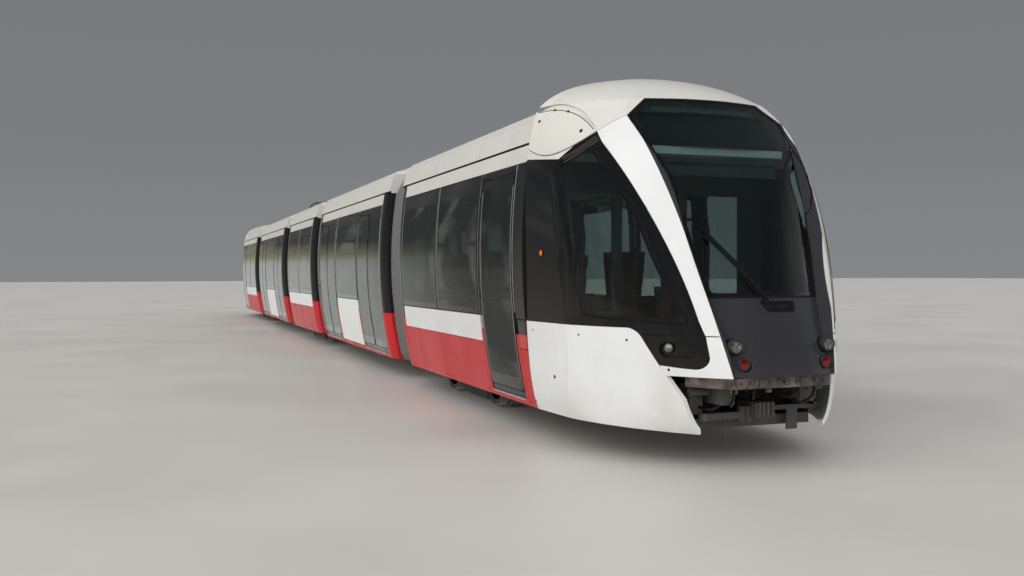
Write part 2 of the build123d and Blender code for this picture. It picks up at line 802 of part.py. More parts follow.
with BuildPart() as cab_glass:
    add(cab_solid)
    add(side_glass_back, mode=Mode.SUBTRACT)
    add(side_glass_cut, mode=Mode.INTERSECT)
with BuildPart() as windscreen:
    add(mask_solid)
    add(mask_glass_back, mode=Mode.SUBTRACT)
    add(mask_prism(windscreen_half, 0, windscreen_bottom, mask_top - 1), mode=Mode.INTERSECT)
with BuildPart() as cab_windows:
    add(window_panes(cab_module))
    add(cab_glass.part)
    add(windscreen.part)
hand_over_both_ends(cab_windows.part, "cab_windows")

# Cab roof: the dome, with the water channel that arches over each ear
dome = cab_form(dome_levels, 0, cab_post)
bulkhead_front = cab_post + 34
channel_width = 46
channel_rear = (cab_post - 1, 2958)
channel_crest = (14440, 2925)
channel_tip = (14858, 2706)


def ear_channel():
    """Shallow channel in the outer skin, an arched band in side view"""
    with BuildPart() as channel:
        with BuildSketch(Plane.XZ):
            with BuildLine():
                upper = [(x, z + channel_width) for x, z in (channel_rear, channel_crest)] + [channel_tip]
                ThreePointArc(channel_rear, channel_crest, channel_tip)
                ThreePointArc(*upper)
                Line(channel_rear, upper[0])
            make_face()
        extrude(amount=beyond_side, both=True)
        add(cab_form(cab_levels, channel_depth, behind_bulkhead), mode=Mode.SUBTRACT)
        add(cab_form(dome_levels, channel_depth, behind_bulkhead), mode=Mode.SUBTRACT)
    return channel.part


cab_units = [Gap(9700, 11500), Gap(11700, 13500)]
with BuildPart() as cab_cap:
    add(cab_solid)
    add(dome)
    add(cab_form(cab_levels, cab_wall, bulkhead_front), mode=Mode.SUBTRACT)
    add(cab_form(dome_levels[:3], cab_wall, bulkhead_front), mode=Mode.SUBTRACT)
    add(roof_cut, mode=Mode.INTERSECT)
    add(mask_prism(mask_half, 0, mask_bottom, mask_top), mode=Mode.SUBTRACT)
    add(ear_channel(), mode=Mode.SUBTRACT)
with BuildPart() as cab_roof:
    add(roof(cab_module, cab_units))
    add(cab_cap.part)
hand_over_both_ends(cab_roof.part, "cab_roof")

# Articulation hardware, low between the floors
arm_half_width = 110
lower_arm_z = (285, 323)
upper_arm_z = (325, 361)
pin_radius = 45
turntable_radius = 335
turntable_z = (364, floor_top)


def pin_arm(end, pivot):
    """Lower arm with its pin and the turntable plate over it"""
    inside = end - (80 if pivot > end else -80)
    block(sorted((inside, pivot)), (-arm_half_width, arm_half_width), lower_arm_z)
    for radius, (low, high) in (
        (arm_half_width, lower_arm_z), (pin_radius, (lower_arm_z[0], turntable_z[1])),
        (turntable_radius, turntable_z),
    ):
        with Locations((pivot, 0, (low + high) / 2)):
            Cylinder(radius, high - low)


def eye_arm(end, pivot):
    """Upper arm whose eye turns on the pin"""
    inside = end - (80 if pivot > end else -80)
    block(sorted((inside, pivot)), (-arm_half_width, arm_half_width), upper_arm_z)
    with Locations((pivot, 0, sum(upper_arm_z) / 2)):
        Cylinder(arm_half_width, upper_arm_z[1] - upper_arm_z[0])
        Cylinder(pin_radius + pin_clearance, 4 * (upper_arm_z[1] - upper_arm_z[0]), mode=Mode.SUBTRACT)


fold_count = 5
fold_crest = 84
fold_valley = 122
ring_thickness = 30
bellows_bottom = 110
bellows_shoulder = (1140, 2972)
bellows_top = (1000, 2990)
passage_bottom = 268


def bellows_face(x, inset, low):
    """Whole gangway section at x, drawn in by inset: the body's sides, then up over the roof edge"""
    high = roof_line
    middle = (low + high) / 2
    with BuildSketch(Plane.YZ.offset(x)) as face:
        with BuildLine():
            Line((0, low), (side_y(low, inset), low))
            ThreePointArc(
                (side_y(low, inset), low), (side_y(middle, inset), middle), (side_y(high, inset), high)
            )
            Polyline(
                (side_y(high, inset), high), (bellows_shoulder[0] - inset, bellows_shoulder[1] - inset),
                (bellows_top[0] - inset, bellows_top[1] - inset), (0, bellows_top[1] - inset),
            )
            mirror(about=Plane.YZ)
        make_face()
    return face.sketch


def bellows(rear, front):
    """Folded ring between two module ends, open for the passage"""
    step = (front - rear - seat_gap) / (2 * fold_count)
    with BuildPart() as ring:
        sections = []
        for turn in range(2 * fold_count + 1):
            inset = fold_crest if turn % 2 else fold_valley
            sections.append(bellows_face(rear + turn * step, inset, bellows_bottom + inset))
        loft(sections, ruled=True)
        extrude(bellows_face(rear - 10, fold_valley + ring_thickness, passage_bottom),
                amount=front - rear + 20, mode=Mode.SUBTRACT)
    return ring.part


# Floors: side-view profiles, top side first
slab = floor_top - floor_underside
raised_underside = raised_floor_top - slab
wheel_box_x = 385
wheel_box_y = (605, 925)
wheel_box_top = 745
wheel_box_wall = 25


def wheel_boxes(bogie_x):
    """Boxes over the wheels, open below"""
    for axle in (-wheelbase / 2, wheelbase / 2):
        for side in (-1, 1):
            x = bogie_x + axle
            y = sorted((side * wheel_box_y[0], side * wheel_box_y[1]))
            block((x - wheel_box_x, x + wheel_box_x), y, (raised_underside, wheel_box_top))
            inner_y = (y[0] + wheel_box_wall, y[1] - wheel_box_wall)
            block((x - wheel_box_x + wheel_box_wall, x + wheel_box_x - wheel_box_wall), inner_y,
                  (0, wheel_box_top - wheel_box_wall), mode=Mode.SUBTRACT)


cab_floor_profile = [
    (cab_module_rear, floor_top), (9500, floor_top), (9800, raised_floor_top), (12420, raised_floor_top),
    (12720, floor_top), (cab_rear, floor_top), (cab_rear, floor_underside), (12740, floor_underside),
    (12440, raised_underside), (9780, raised_underside), (9480, floor_underside),
    (cab_module_rear, floor_underside),
]
centre_floor_profile = [
    (-centre_end, floor_top), (-1850, floor_top), (-1550, raised_floor_top), (1550, raised_floor_top),
    (1850, floor_top), (centre_end, floor_top), (centre_end, floor_underside), (1870, floor_underside),
    (1570, raised_underside), (-1570, raised_underside), (-1870, floor_underside),
    (-centre_end, floor_underside),
]
suspended_floor_profile = [
    (suspended_rear, floor_top), (suspended_front, floor_top), (suspended_front, floor_underside),
    (suspended_rear, floor_underside),
]

# Jacking pads under the floors
pad_depth = 15
pad_half_length = 80
pad_half_width = 60
pad_y = 850
cab_pad_x = 13400
suspended_pads_x = (3100, 8150)


def jacking_pads(places_x):
    """Flat pads on the floor's underside, a pair at each place"""
    for x in places_x:
        for y in (-pad_y, pad_y):
            block((x - pad_half_length, x + pad_half_length), (y - pad_half_width, y + pad_half_width),
                  (floor_underside - pad_depth, floor_underside + fusing_depth))


# The cab's front end below the nose, where a bumper fairing is missing
front_plate = [(cab_rear - 20, 1080), (14700, 1050), (15400, 755), (15700, 530)]
front_beam = [(15780, 660), (15960, 545), (16095, 420)]
front_beam_z = (640, hook_bottom - seat_gap)
long_beam_x = (15000, 15900)
long_beam_y = (300, 430)
long_beam_z = (500, front_beam_z[0] + fusing_depth)
long_beam_foot_x = (long_beam_x[0], 15300)
tie_x = (15480, 15600)
shield_x = (15500, 15512)
shield_half_width = 640
shield_top = 690
lug_x = (15960, 15985)
lug_width = 44
lug_places = (-355, -45, 330)
lug_bottom = 592
side_bracket_x = (15560, 15720)
side_bracket_y = (470, 590)
side_bracket_z = (410, 565)
damper = (15752, 515, 592)
damper_radius = 32
damper_length = 190
damper_ear_x = (15700, 15760)
damper_ear_y = (440, 500)
pocket_x = (15600, 15865)
pocket_half_width = 85
pocket_z = (385, 500)
pocket_foot_front = 15695
rib_count = 4
rib_pitch = 40
rib_width = 18
rib_depth = 14
tow_pin_x = 15815
tow_pin_radius = 25
tow_bar_x = (15735, 15795)
tow_bar_y = (-490, -150)
tow_bar_z = (370, 425)
tow_bar_eye = 40
tow_hinge_ys = (-150, -95)
tow_hinge_radius = 34
tow_hinge_z = (345, 465)
hanging_pin_y = -304
hanging_pin_radius = 8
hanging_pin_bottom = 247
swing_rod_x = (15750, 15785)
swing_rod_y = (80, 480)
swing_rod_z = (425, 460)
tab_x = (15760, 15774)
tab_y = (265, 365)
tab_bottom = 262


def both_sides(points):
    """A plan outline's left half with its mirror image, as one closed loop of points"""
    return points + [(x, -y) for x, y in reversed(points)]


def front_end():
    """Cross beam on two long beams, side brackets with dampers, coupler pocket and its folded tow bar"""
    with BuildSketch(Plane.XY.offset(floor_underside)) as plate:
        Polygon(*both_sides(front_plate), align=None)
    extrude(plate.sketch, amount=slab)
    with BuildSketch(Plane.XY.offset(front_beam_z[0])) as beam:
        Polygon(*both_sides(front_beam), align=None)
    extrude(beam.sketch, amount=front_beam_z[1] - front_beam_z[0])
    for side in (-1, 1):
        long_y = sorted(side * value for value in long_beam_y)
        block(long_beam_foot_x, long_y, (floor_top - fusing_depth, long_beam_z[0] + fusing_depth))
        block(long_beam_x, long_y, long_beam_z)
        block(side_bracket_x, sorted(side * value for value in side_bracket_y), side_bracket_z)
        block(tie_x, sorted((side * long_beam_y[0], side * side_bracket_y[1])), long_beam_z)
        with Locations(Location((damper[0], side * damper[1], damper[2]), (90, 0, 0))):
            Cylinder(damper_radius, damper_length)
        block(damper_ear_x, sorted(side * value for value in damper_ear_y),
              (side_bracket_z[1] - fusing_depth, damper[2]))
    block(shield_x, (-shield_half_width, shield_half_width), (floor_top - fusing_depth, shield_top))
    for y in lug_places:
        block(lug_x, (y - lug_width / 2, y + lug_width / 2), (lug_bottom, front_beam_z[0] + fusing_depth))
    across_pocket = (-pocket_half_width, pocket_half_width)
    block(pocket_x, across_pocket, pocket_z)
    block((pocket_x[0], pocket_foot_front), across_pocket, (floor_top - fusing_depth, pocket_z[0]))
    with Locations((pocket_x[1], 0, sum(pocket_z) / 2)):
        with GridLocations(0, rib_pitch, 1, rib_count):
            Box(2 * rib_depth, rib_width, pocket_z[1] - pocket_z[0])
    with Locations((tow_pin_x, 0, sum(pocket_z) / 2)):
        Cylinder(tow_pin_radius, 2 * (pocket_z[1] - pocket_z[0]), mode=Mode.SUBTRACT)
    tow_bar_middle = sum(tow_bar_x) / 2
    for y in tow_hinge_ys:
        with Locations((tow_bar_middle, y, sum(tow_hinge_z) / 2)):
            Cylinder(tow_hinge_radius, tow_hinge_z[1] - tow_hinge_z[0])
    block(tow_bar_x, tow_bar_y, tow_bar_z)
    with Locations((tow_bar_middle, tow_bar_y[0], sum(tow_bar_z) / 2)):
        Cylinder(tow_bar_eye, tow_bar_z[1] - tow_bar_z[0])
    with Locations((tow_bar_middle, hanging_pin_y, (hanging_pin_bottom + tow_bar_z[0]) / 2)):
        Cylinder(hanging_pin_radius, tow_bar_z[0] - hanging_pin_bottom + fusing_depth)
    block(swing_rod_x, swing_rod_y, swing_rod_z)
    block(tab_x, tab_y, (tab_bottom, swing_rod_z[0] + fusing_depth))


with BuildPart() as cab_underframe:
    add(floor_slab(cab_module, cab_floor_profile))
    wheel_boxes(cab_bogie_x)
    eye_arm(cab_module_rear, outer_pivot)
    jacking_pads([cab_pad_x])
    front_end()
hand_over_both_ends(cab_underframe.part, "cab_underframe")

with BuildPart() as suspended_underframe:
    add(floor_slab(suspended, suspended_floor_profile))
    eye_arm(suspended_rear, inner_pivot)
    pin_arm(suspended_front, outer_pivot)
    jacking_pads(suspended_pads_x)
hand_over_both_ends(suspended_underframe.part, "suspended_underframe")

with BuildPart() as centre_underframe:
    add(floor_slab(centre, centre_floor_profile))
    wheel_boxes(centre_bogie_x)
    pin_arm(centre_end, inner_pivot)
    pin_arm(-centre_end, -inner_pivot)
hand_over(centre_underframe.part, "centre_underframe")

# Saloon sides
hand_over_both_ends(side_walls(cab_module), "cab_walls")
hand_over_both_ends(door_set(cab_module), "cab_doors")
hand_over_both_ends(lower_panels(cab_module, plate_bottom), "cab_red_panels")
hand_over_both_ends(side_walls(suspended), "suspended_walls")
hand_over_both_ends(window_panes(suspended), "suspended_windows")
hand_over_both_ends(door_set(suspended), "suspended_doors")
with BuildPart() as suspended_side_panels:
    add(lower_panels(suspended, door_low))
    add(upper_plates(suspended, door_low))
hand_over_both_ends(suspended_side_panels.part, "suspended_side_panels")
hand_over_both_ends(roof(suspended, [Gap(3400, 5400), Gap(5800, 7900)]), "suspended_roof")
hand_over(side_walls(centre), "centre_walls")
hand_over(window_panes(centre), "centre_windows")
with BuildPart() as centre_side_panels:
    add(lower_panels(centre, plate_bottom))
    add(upper_plates(centre, plate_bottom))
hand_over(centre_side_panels.part, "centre_side_panels")

# Bellows
hand_over_both_ends(bellows(centre_end, suspended_rear), "inner_bellows")
hand_over_both_ends(bellows(suspended_front, cab_module_rear), "outer_bellows")

# Wheelsets and bogie frames
for place, x in (("outer", cab_bogie_x + wheelbase / 2), ("inner", cab_bogie_x - wheelbase / 2)):
    hand_over_both_ends(wheelset(x), f"cab_wheelset_{place}")
hand_over_both_ends(wheelset(wheelbase / 2), "centre_wheelset")
hand_over_both_ends(bogie_frame(cab_bogie_x), "cab_bogie_frame")
hand_over(bogie_frame(centre_bogie_x), "centre_bogie_frame")

# Seats: a bent shell on a plinth, back to back over the wheel boxes
Seat = namedtuple("Seat", "x y facing floor")
seat_pitch = 760
seat_width = 440
seat_depth = 430
seat_height = 440
back_height = 560
shell_thickness = 35


def seat_row(seats):
    """Seats with their plinths, each facing +1 or -1 along X"""
    for seat in seats:
        with BuildSketch(Plane.XZ.offset(-seat.y)) as shell:
            with BuildLine():
                foot = seat.floor + seat_gap
                top = seat.floor + seat_height
                Polyline(
                    (seat.x, top), (seat.x + seat.facing * seat_depth, top + 20),
                    (seat.x + seat.facing * seat_depth, top - shell_thickness),
                    (seat.x + seat.facing * (seat_depth - 120), top - shell_thickness - 10),
                    (seat.x + seat.facing * (seat_depth - 150), foot), (seat.x + seat.facing * 60, foot),
                    (seat.x + seat.facing * 40, top - shell_thickness),
                    (seat.x - seat.facing * 40, top - shell_thickness),
                    (seat.x - seat.facing * 150, top + back_height),
                    (seat.x - seat.facing * 110, top + back_height + 10), (seat.x, top),
                )
            make_face()
        extrude(shell.sketch, amount=seat_width / 2, both=True)


def poles(places, low):
    """Grab poles from the floor to the ceiling"""
    high = ceiling - seat_gap
    for x, y in places:
        with Locations((x, y, (low + high) / 2)):
            Cylinder(17, high - low)


window_seat_y = 800
partition_x = Gap(cab_rear - 55, cab_rear - 25)
partition_door_half_width = 300
partition_top = 2300
partition_window_y = (400, 980)
partition_window_z = (1150, 2250)
desk_half_width = 760
desk_profile = [(15160, 700), (15160, 1010), (15230, 1080), (15480, 1140), (15560, 1120), (15540, 700)]
dash_plan = [(15440, 800), (15620, 700), (15840, 440)]
dash_z = (1118, 1160)
driver_x = 14640
pole_x = 12760


def partition():
    """Wall behind the driver, with its doorway and two windows"""
    inset = wall_thickness + seat_gap
    low = floor_top + seat_gap
    high = cantrail - seat_gap
    extrude(body_face(partition_x.rear, inset, low, high), amount=partition_x.front - partition_x.rear)
    block(partition_x, (-ceiling_half_width + seat_gap, ceiling_half_width - seat_gap),
          (high - fusing_depth, ceiling - seat_gap))
    block((partition_x.rear - 5, partition_x.front + 5),
          (-partition_door_half_width, partition_door_half_width), (0, partition_top), mode=Mode.SUBTRACT)
    for side in (-1, 1):
        block((partition_x.rear - 5, partition_x.front + 5),
              sorted(side * value for value in partition_window_y), partition_window_z, mode=Mode.SUBTRACT)


def driving_position():
    """Desk with its pedestal and dash, and the driver's seat"""
    with BuildSketch(Plane.XZ) as desk:
        with BuildLine():
            Polyline(*desk_profile, desk_profile[0])
        make_face()
    extrude(desk.sketch, amount=desk_half_width, both=True)
    block((15200, 15480), (-200, 200), (floor_top + seat_gap, desk_profile[0][1] + 10))
    with BuildSketch(Plane.XY.offset(dash_z[0])) as dash:
        Polygon(*both_sides(dash_plan), align=None)
    extrude(dash.sketch, amount=dash_z[1] - dash_z[0])
    seat_row([Seat(driver_x, 0, 1, floor_top)])
    block((driver_x - 185, driver_x - 125), (-130, 130),
          (floor_top + seat_height + back_height, floor_top + seat_height + back_height + 170))


with BuildPart() as cab_interior:
    seat_row([
        Seat(x, side * window_seat_y, facing, wheel_box_top)
        for side in (-1, 1)
        for x, facing in ((10330, 1), (10270, -1), (11930, 1), (11870, -1))
    ])
    poles([(pole_x, 500), (pole_x, -500)], floor_top + seat_gap)
    partition()
    driving_position()
hand_over_both_ends(cab_interior.part, "cab_interior")
with BuildPart() as suspended_interior:
    seat_row([
        Seat(x, side * window_seat_y, facing, floor_top)
        for side in (-1, 1)
        for x, facing in ((5200, 1), (6050, -1))
    ])
    poles([(x, y) for x in (3700, 7550) for y in (-400, 400)], floor_top + seat_gap)
hand_over_both_ends(suspended_interior.part, "suspended_interior")
with BuildPart() as centre_interior:
    seat_row([
        Seat(x, side * window_seat_y, facing, wheel_box_top)
        for side in (-1, 1)
        for x, facing in ((830, -1), (-830, 1))
    ])
hand_over(centre_interior.part, "centre_interior")

# Pantograph, folded down on the centre module's roof
hinge_x = -700
hinge_z = 2960
knee_x = 560
knee_z = 3030
head_x = -560
head_z = 3110
arm_radius = 45
hinge_pin_radius = 28
knee_pin_radius = 22
head_pin_radius = 14


def rod(start, end, radius):
    """Round bar from start to end"""
    axis = Vector(*end) - Vector(*start)
    with BuildSketch(Plane(origin=start, z_dir=axis)) as section:
        Circle(radius)
    extrude(section.sketch, amount=axis.length)


def cross_pin(x, z, radius, half_length, mode=Mode.ADD):
    """Pin across the tram"""
    with Locations(Location((x, 0, z), (90, 0, 0))):
        Cylinder(radius, 2 * half_length, mode=mode)


with BuildPart() as centre_roof:
    add(roof(centre, [Gap(-1850, -1200), Gap(1150, 1850)]))
    for side in (-1, 1):
        y = sorted((side * 330, side * 400))
        block((-1000, 900), y, (2780, 2840))
        for x in (-900, 800):
            block((x - 45, x + 45), y, (roof_line - 5, 2790))
        block((hinge_x - 60, hinge_x + 60), sorted((side * 300, side * 350)), (2830, 3010))
    block((hinge_x - 60, hinge_x + 60), (-400, 400), (2785, 2835))
    block((760, 840), (-400, 400), (2785, 2835))
    cross_pin(hinge_x, hinge_z, hinge_pin_radius + pin_clearance, 500, mode=Mode.SUBTRACT)
hand_over(centre_roof.part, "centre_roof")

with BuildPart() as lower_arm:
    rod((hinge_x, 0, hinge_z), (knee_x, 0, knee_z), arm_radius)
    cross_pin(hinge_x, hinge_z, hinge_pin_radius, 360)
    cross_pin(knee_x, knee_z, knee_pin_radius, 230)
hand_over(lower_arm.part, "pantograph_lower_arm")

with BuildPart() as upper_arm:
    for side in (-1, 1):
        rod((knee_x, side * 160, knee_z), (head_x, side * 160, head_z), 20)
        block((knee_x - 45, knee_x + 45), sorted((side * 140, side * 180)), (knee_z - 45, knee_z + 45))
    rod((head_x, -300, head_z), (head_x, 300, head_z), head_pin_radius)
    rod((head_x + 250, -160, head_z - 18), (head_x + 250, 160, head_z - 18), 12)
    cross_pin(knee_x, knee_z, knee_pin_radius + pin_clearance, 300, mode=Mode.SUBTRACT)
hand_over(upper_arm.part, "pantograph_upper_arm")

with BuildPart() as head:
    for side in (-1, 1):
        block((head_x - 180, head_x + 180), sorted((side * 240, side * 280)), (head_z - 30, head_z + 35))
    for x in (-160, 160):
        block((head_x + x - 25, head_x + x + 25), (-800, 800), (head_z + 30, head_z + 70))
    cross_pin(head_x, head_z, head_pin_radius + pin_clearance, 400, mode=Mode.SUBTRACT)
hand_over(head.part, "pantograph_head")
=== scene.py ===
"""Looks of the five-module low-floor tram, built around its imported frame. Metres, +X to the front cab."""
import math

import bmesh
import bpy
from mathutils import Matrix, Vector
from mathutils.bvhtree import BVHTree


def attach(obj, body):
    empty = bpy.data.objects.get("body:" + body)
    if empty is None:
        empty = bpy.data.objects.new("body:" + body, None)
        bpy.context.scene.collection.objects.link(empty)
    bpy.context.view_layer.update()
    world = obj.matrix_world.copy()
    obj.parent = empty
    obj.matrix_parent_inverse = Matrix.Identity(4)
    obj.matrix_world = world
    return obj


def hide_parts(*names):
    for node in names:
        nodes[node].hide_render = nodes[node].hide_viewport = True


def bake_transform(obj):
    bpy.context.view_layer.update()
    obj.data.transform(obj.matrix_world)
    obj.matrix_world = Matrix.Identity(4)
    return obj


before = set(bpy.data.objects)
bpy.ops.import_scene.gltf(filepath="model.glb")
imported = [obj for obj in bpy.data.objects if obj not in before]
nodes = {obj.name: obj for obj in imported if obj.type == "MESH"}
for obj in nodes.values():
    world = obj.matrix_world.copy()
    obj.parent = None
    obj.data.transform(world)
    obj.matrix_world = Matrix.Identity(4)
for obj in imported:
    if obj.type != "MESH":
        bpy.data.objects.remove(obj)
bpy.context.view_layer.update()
scene = bpy.context.scene
scene.view_settings.view_transform = "Standard"


# Node helpers
class Tree:
    """A node tree; its short ways to add nodes return the socket that carries the result"""

    def __init__(self, tree, coordinates):
        self.tree = tree
        self.place = self.add("TexCoord").outputs[coordinates]

    def add(self, kind, inputs=None, **settings):
        node = self.tree.nodes.new("ShaderNode" + kind)
        for key, value in settings.items():
            setattr(node, key, value)
        for key, value in (inputs or {}).items():
            self.put(node.inputs[key], value)
        return node

    def put(self, socket, value):
        if isinstance(value, bpy.types.NodeSocket):
            self.tree.links.new(value, socket)
        else:
            socket.default_value = value

    def noise(self, scale, detail=3.0, roughness=0.5, stretch=(1, 1, 1)):
        place = self.place
        if stretch != (1, 1, 1):
            place = self.add("Mapping", {"Vector": self.place, "Scale": stretch}).outputs[0]
        inputs = {"Vector": place, "Scale": scale, "Detail": detail, "Roughness": roughness}
        return self.add("TexNoise", inputs).outputs["Fac"]

    def ramp(self, source, low, high, to_low=0.0, to_high=1.0):
        inputs = {"Value": source, "From Min": low, "From Max": high, "To Min": to_low, "To Max": to_high}
        return self.add("MapRange", inputs, clamp=True).outputs["Result"]

    def math(self, operation, a, b=0.0):
        return self.add("Math", {0: a, 1: b}, operation=operation).outputs[0]

    def axis(self, name):
        return self.add("SeparateXYZ", {0: self.place}).outputs[name]

    def mix(self, factor, first, second):
        return self.add("Mix", {0: factor, 6: first, 7: second}, data_type="RGBA").outputs[2]

    def mix_shaders(self, factor, first, second):
        return self.add("MixShader", {0: factor, 1: first, 2: second}).outputs[0]


class Shader(Tree):
    """One material's node tree"""

    def __init__(self, name):
        self.material = bpy.data.materials.new(name)
        self.material.use_nodes = True
        super().__init__(self.material.node_tree, "Object")
        self.principled = self.tree.nodes["Principled BSDF"]

    def within(self, value, low, high):
        """1 between two limits, else 0"""
        above, below = self.math("GREATER_THAN", value, low), self.math("LESS_THAN", value, high)
        return self.math("MULTIPLY", above, below)

    def zone(self, rear, front, low, high=9.0):
        """1 between two distances from the tram's middle and two heights, at both ends"""
        away = self.math("ABSOLUTE", self.axis("X"))
        return self.math("MULTIPLY", self.within(away, rear, front), self.within(self.axis("Z"), low, high))

    def patched(self, tint, patches):
        """The tint with other colours in zones, given as (colour, zone)"""
        for other, zone in patches:
            tint = self.mix(self.zone(*zone), tint, other)
        return tint

    def bump(self, height, distance, strength=1.0, under=None):
        inputs = {"Height": height, "Distance": distance, "Strength": strength}
        if under is not None:
            inputs["Normal"] = under
        return self.add("Bump", inputs).outputs["Normal"]

    def set(self, **inputs):
        for key, value in inputs.items():
            self.put(self.principled.inputs[key.replace("_", " ")], value)
        return self.material

    def clear_to_lamps(self, colour):
        """Lets lamplight through in this colour, where a solid glass would cast a shadow"""
        lamp_ray = self.add("LightPath").outputs["Is Shadow Ray"]
        clear = self.add("BsdfTransparent", {"Color": colour}).outputs[0]
        both = self.mix_shaders(lamp_ray, self.principled.outputs[0], clear)
        self.put(self.tree.nodes["Material Output"].inputs["Surface"], both)
        return self.material


def rgb(red, green, blue):
    """Linear colour from the three numbers of a screen colour, 0 to 255"""
    linear = (((c / 255 + 0.055) / 1.055) ** 2.4 if c > 10 else c / 255 / 12.92 for c in (red, green, blue))
    return tuple(linear) + (1,)


def paint(name, colour, roughness, coat, dust, dust_colour=rgb(176, 168, 156), patches=()):
    """Sprayed body paint: faint orange peel, cloudy dust, more of it low down"""
    s = Shader(name)
    cloud = s.noise(1.7, 5.0, 0.62)
    streak = s.noise(3.0, 3.0, 0.5, (1.0, 1.0, 0.12))
    low = s.ramp(s.axis("Z"), 0.25, 1.1, 1.0, 0.25)
    soil = s.math("MULTIPLY", s.ramp(s.math("MULTIPLY", cloud, streak), 0.18, 0.42), low)
    tint = s.mix(s.ramp(cloud, 0.35, 0.7), colour, tuple(c * 0.94 for c in colour[:3]) + (1,))
    peel = s.bump(s.noise(140.0, 2.0), 0.0006, 0.25)
    return s.set(
        Base_Color=s.mix(s.math("MULTIPLY", soil, dust), s.patched(tint, patches), dust_colour),
        Roughness=s.ramp(soil, 0.0, 1.0, roughness, roughness + 0.25),
        Coat_Weight=coat, Coat_Roughness=0.06, Normal=s.bump(s.noise(2.2, 1.0), 0.003, 0.1, peel),
    )


def steel(name, colour, second, roughness, metallic=0.0, grain=18.0, rough_step=0.002, patches=()):
    """Painted or bare steel under a hall's dust: two tones, worn by patches, with a cast grain"""
    s = Shader(name)
    patch = s.ramp(s.noise(grain * 0.25, 6.0, 0.7), 0.4, 0.62)
    fine = s.noise(grain * 4, 4.0, 0.6)
    return s.set(
        Base_Color=s.patched(s.mix(patch, colour, second), patches), Metallic=metallic,
        Roughness=s.ramp(fine, 0.3, 0.7, roughness - 0.1, roughness + 0.12),
        Normal=s.bump(fine, rough_step, 0.5),
    )


def plastic(name, colour, roughness, grain=260.0, depth=0.0004, patches=()):
    """Moulded plastic or rubber: fine grain, faint cloud of dust"""
    s = Shader(name)
    cloud = s.ramp(s.noise(2.5, 4.0, 0.6), 0.35, 0.75)
    tint = s.patched(colour, patches)
    dusty = s.mix(0.018, tint, (0.45, 0.44, 0.42, 1))
    return s.set(
        Base_Color=s.mix(cloud, tint, dusty), Roughness=s.ramp(cloud, 0.0, 1.0, roughness, roughness + 0.12),
        Normal=s.bump(s.noise(grain, 2.0), depth, 0.4),
    )


def fabric(name, colour, second, pitch=900.0):
    """Woven seat cloth: crossed threads and a flecked second colour"""
    s = Shader(name)
    warp = s.math("SINE", s.math("MULTIPLY", s.axis("Y"), pitch))
    weft = s.math("SINE", s.math("MULTIPLY", s.math("ADD", s.axis("X"), s.axis("Z")), pitch))
    fleck = s.ramp(s.noise(90.0, 3.0, 0.7), 0.52, 0.6)
    return s.set(
        Base_Color=s.mix(fleck, colour, second), Roughness=0.9, Sheen_Weight=0.3,
        Normal=s.bump(s.math("MULTIPLY", warp, weft), 0.0006, 0.6),
    )


def glass(name, tint, cab_tint=None):
    """Tinted safety glass: clear to lamps, faintly wavy, with wiped dust; the cab's may be lighter"""
    s = Shader(name)
    dust = s.ramp(s.noise(1.3, 5.0, 0.6), 0.45, 0.8, 0.0, 0.08)
    colour = s.mix(s.zone(14.1, 17.0, 0.0), tint, cab_tint) if cab_tint else tint
    colour = s.mix(dust, colour, rgb(150, 148, 142))
    waves = s.bump(s.noise(0.9, 1.0), 0.004, 0.04)
    s.set(Base_Color=colour, Transmission_Weight=1.0, IOR=1.45, Roughness=0.0, Normal=waves)
    return s.clear_to_lamps(colour)


def lens(name, tint, clearness=0.85, pitch=420.0):
    """Moulded lamp lens with fine fluting"""
    s = Shader(name)
    flutes = s.bump(s.math("SINE", s.math("MULTIPLY", s.axis("Y"), pitch)), 0.0005, 0.3)
    s.set(Base_Color=tint, Transmission_Weight=clearness, IOR=1.49, Roughness=0.05, Normal=flutes)
    return s.clear_to_lamps(tint)


# Finishes; patches are stripes, places of another colour and places of painted shade, their zones given as
# (rear, front, low, high)
red, white, black = rgb(194, 36, 40), rgb(228, 228, 225), rgb(15, 15, 17)
grime, floor_vinyl = rgb(96, 94, 90), rgb(88, 90, 92)
corner_rear, corner_front, back_wall = 13.8, 14.053, (13.98, 14.04)
white_paint = paint("white_paint", white, 0.28, 0.5, 0.28, patches=[
    (red, (corner_rear, corner_front, 0.7)), (black, (corner_rear, corner_front, 0.943)),
])
cream_paint = paint("cream_paint", rgb(213, 210, 201), 0.38, 0.25, 0.35)
red_paint = paint("red_paint", red, 0.38, 0.12, 0.07)
side_paint = paint("side_paint", red, 0.36, 0.12, 0.07, patches=[
    (white, (4.7115, 6.5385, 0.338)), (white, (-1.0, 1.7175, 0.813)),
])
charcoal_paint = paint("charcoal_paint", rgb(47, 46, 51), 0.42, 0.15, 0.2, rgb(104, 104, 106))
black_gloss = paint("black_gloss", black, 0.12, 0.6, 0.1, grime)
door_black = paint("door_black", rgb(24, 24, 26), 0.22, 0.4, 0.15, grime)
frame_black = paint("frame_black", rgb(21, 21, 23), 0.2, 0.4, 0.12, grime)
side_glass = glass("side_glass", (0.30, 0.37, 0.36, 1), (0.66, 0.77, 0.74, 1))
# Under the nose the first three patches are painted shade: the steel gets darker in steps the further in
# under the body it lies; the last patch is the floor's vinyl
underframe_steel = steel("underframe_steel", rgb(62, 56, 53), rgb(126, 114, 107), 0.62, patches=[
    (rgb(22, 20, 19), (14.3, 15.56, 0.05, 0.70)), (rgb(72, 68, 65), (15.56, 15.80, 0.05, 0.66)),
    (rgb(84, 76, 72), (15.80, 15.93, 0.05, 0.66)), (floor_vinyl, (-1.0, back_wall[1], 0.3749)),
])
bogie_steel = steel("bogie_steel", rgb(34, 34, 37), rgb(60, 55, 51), 0.58)
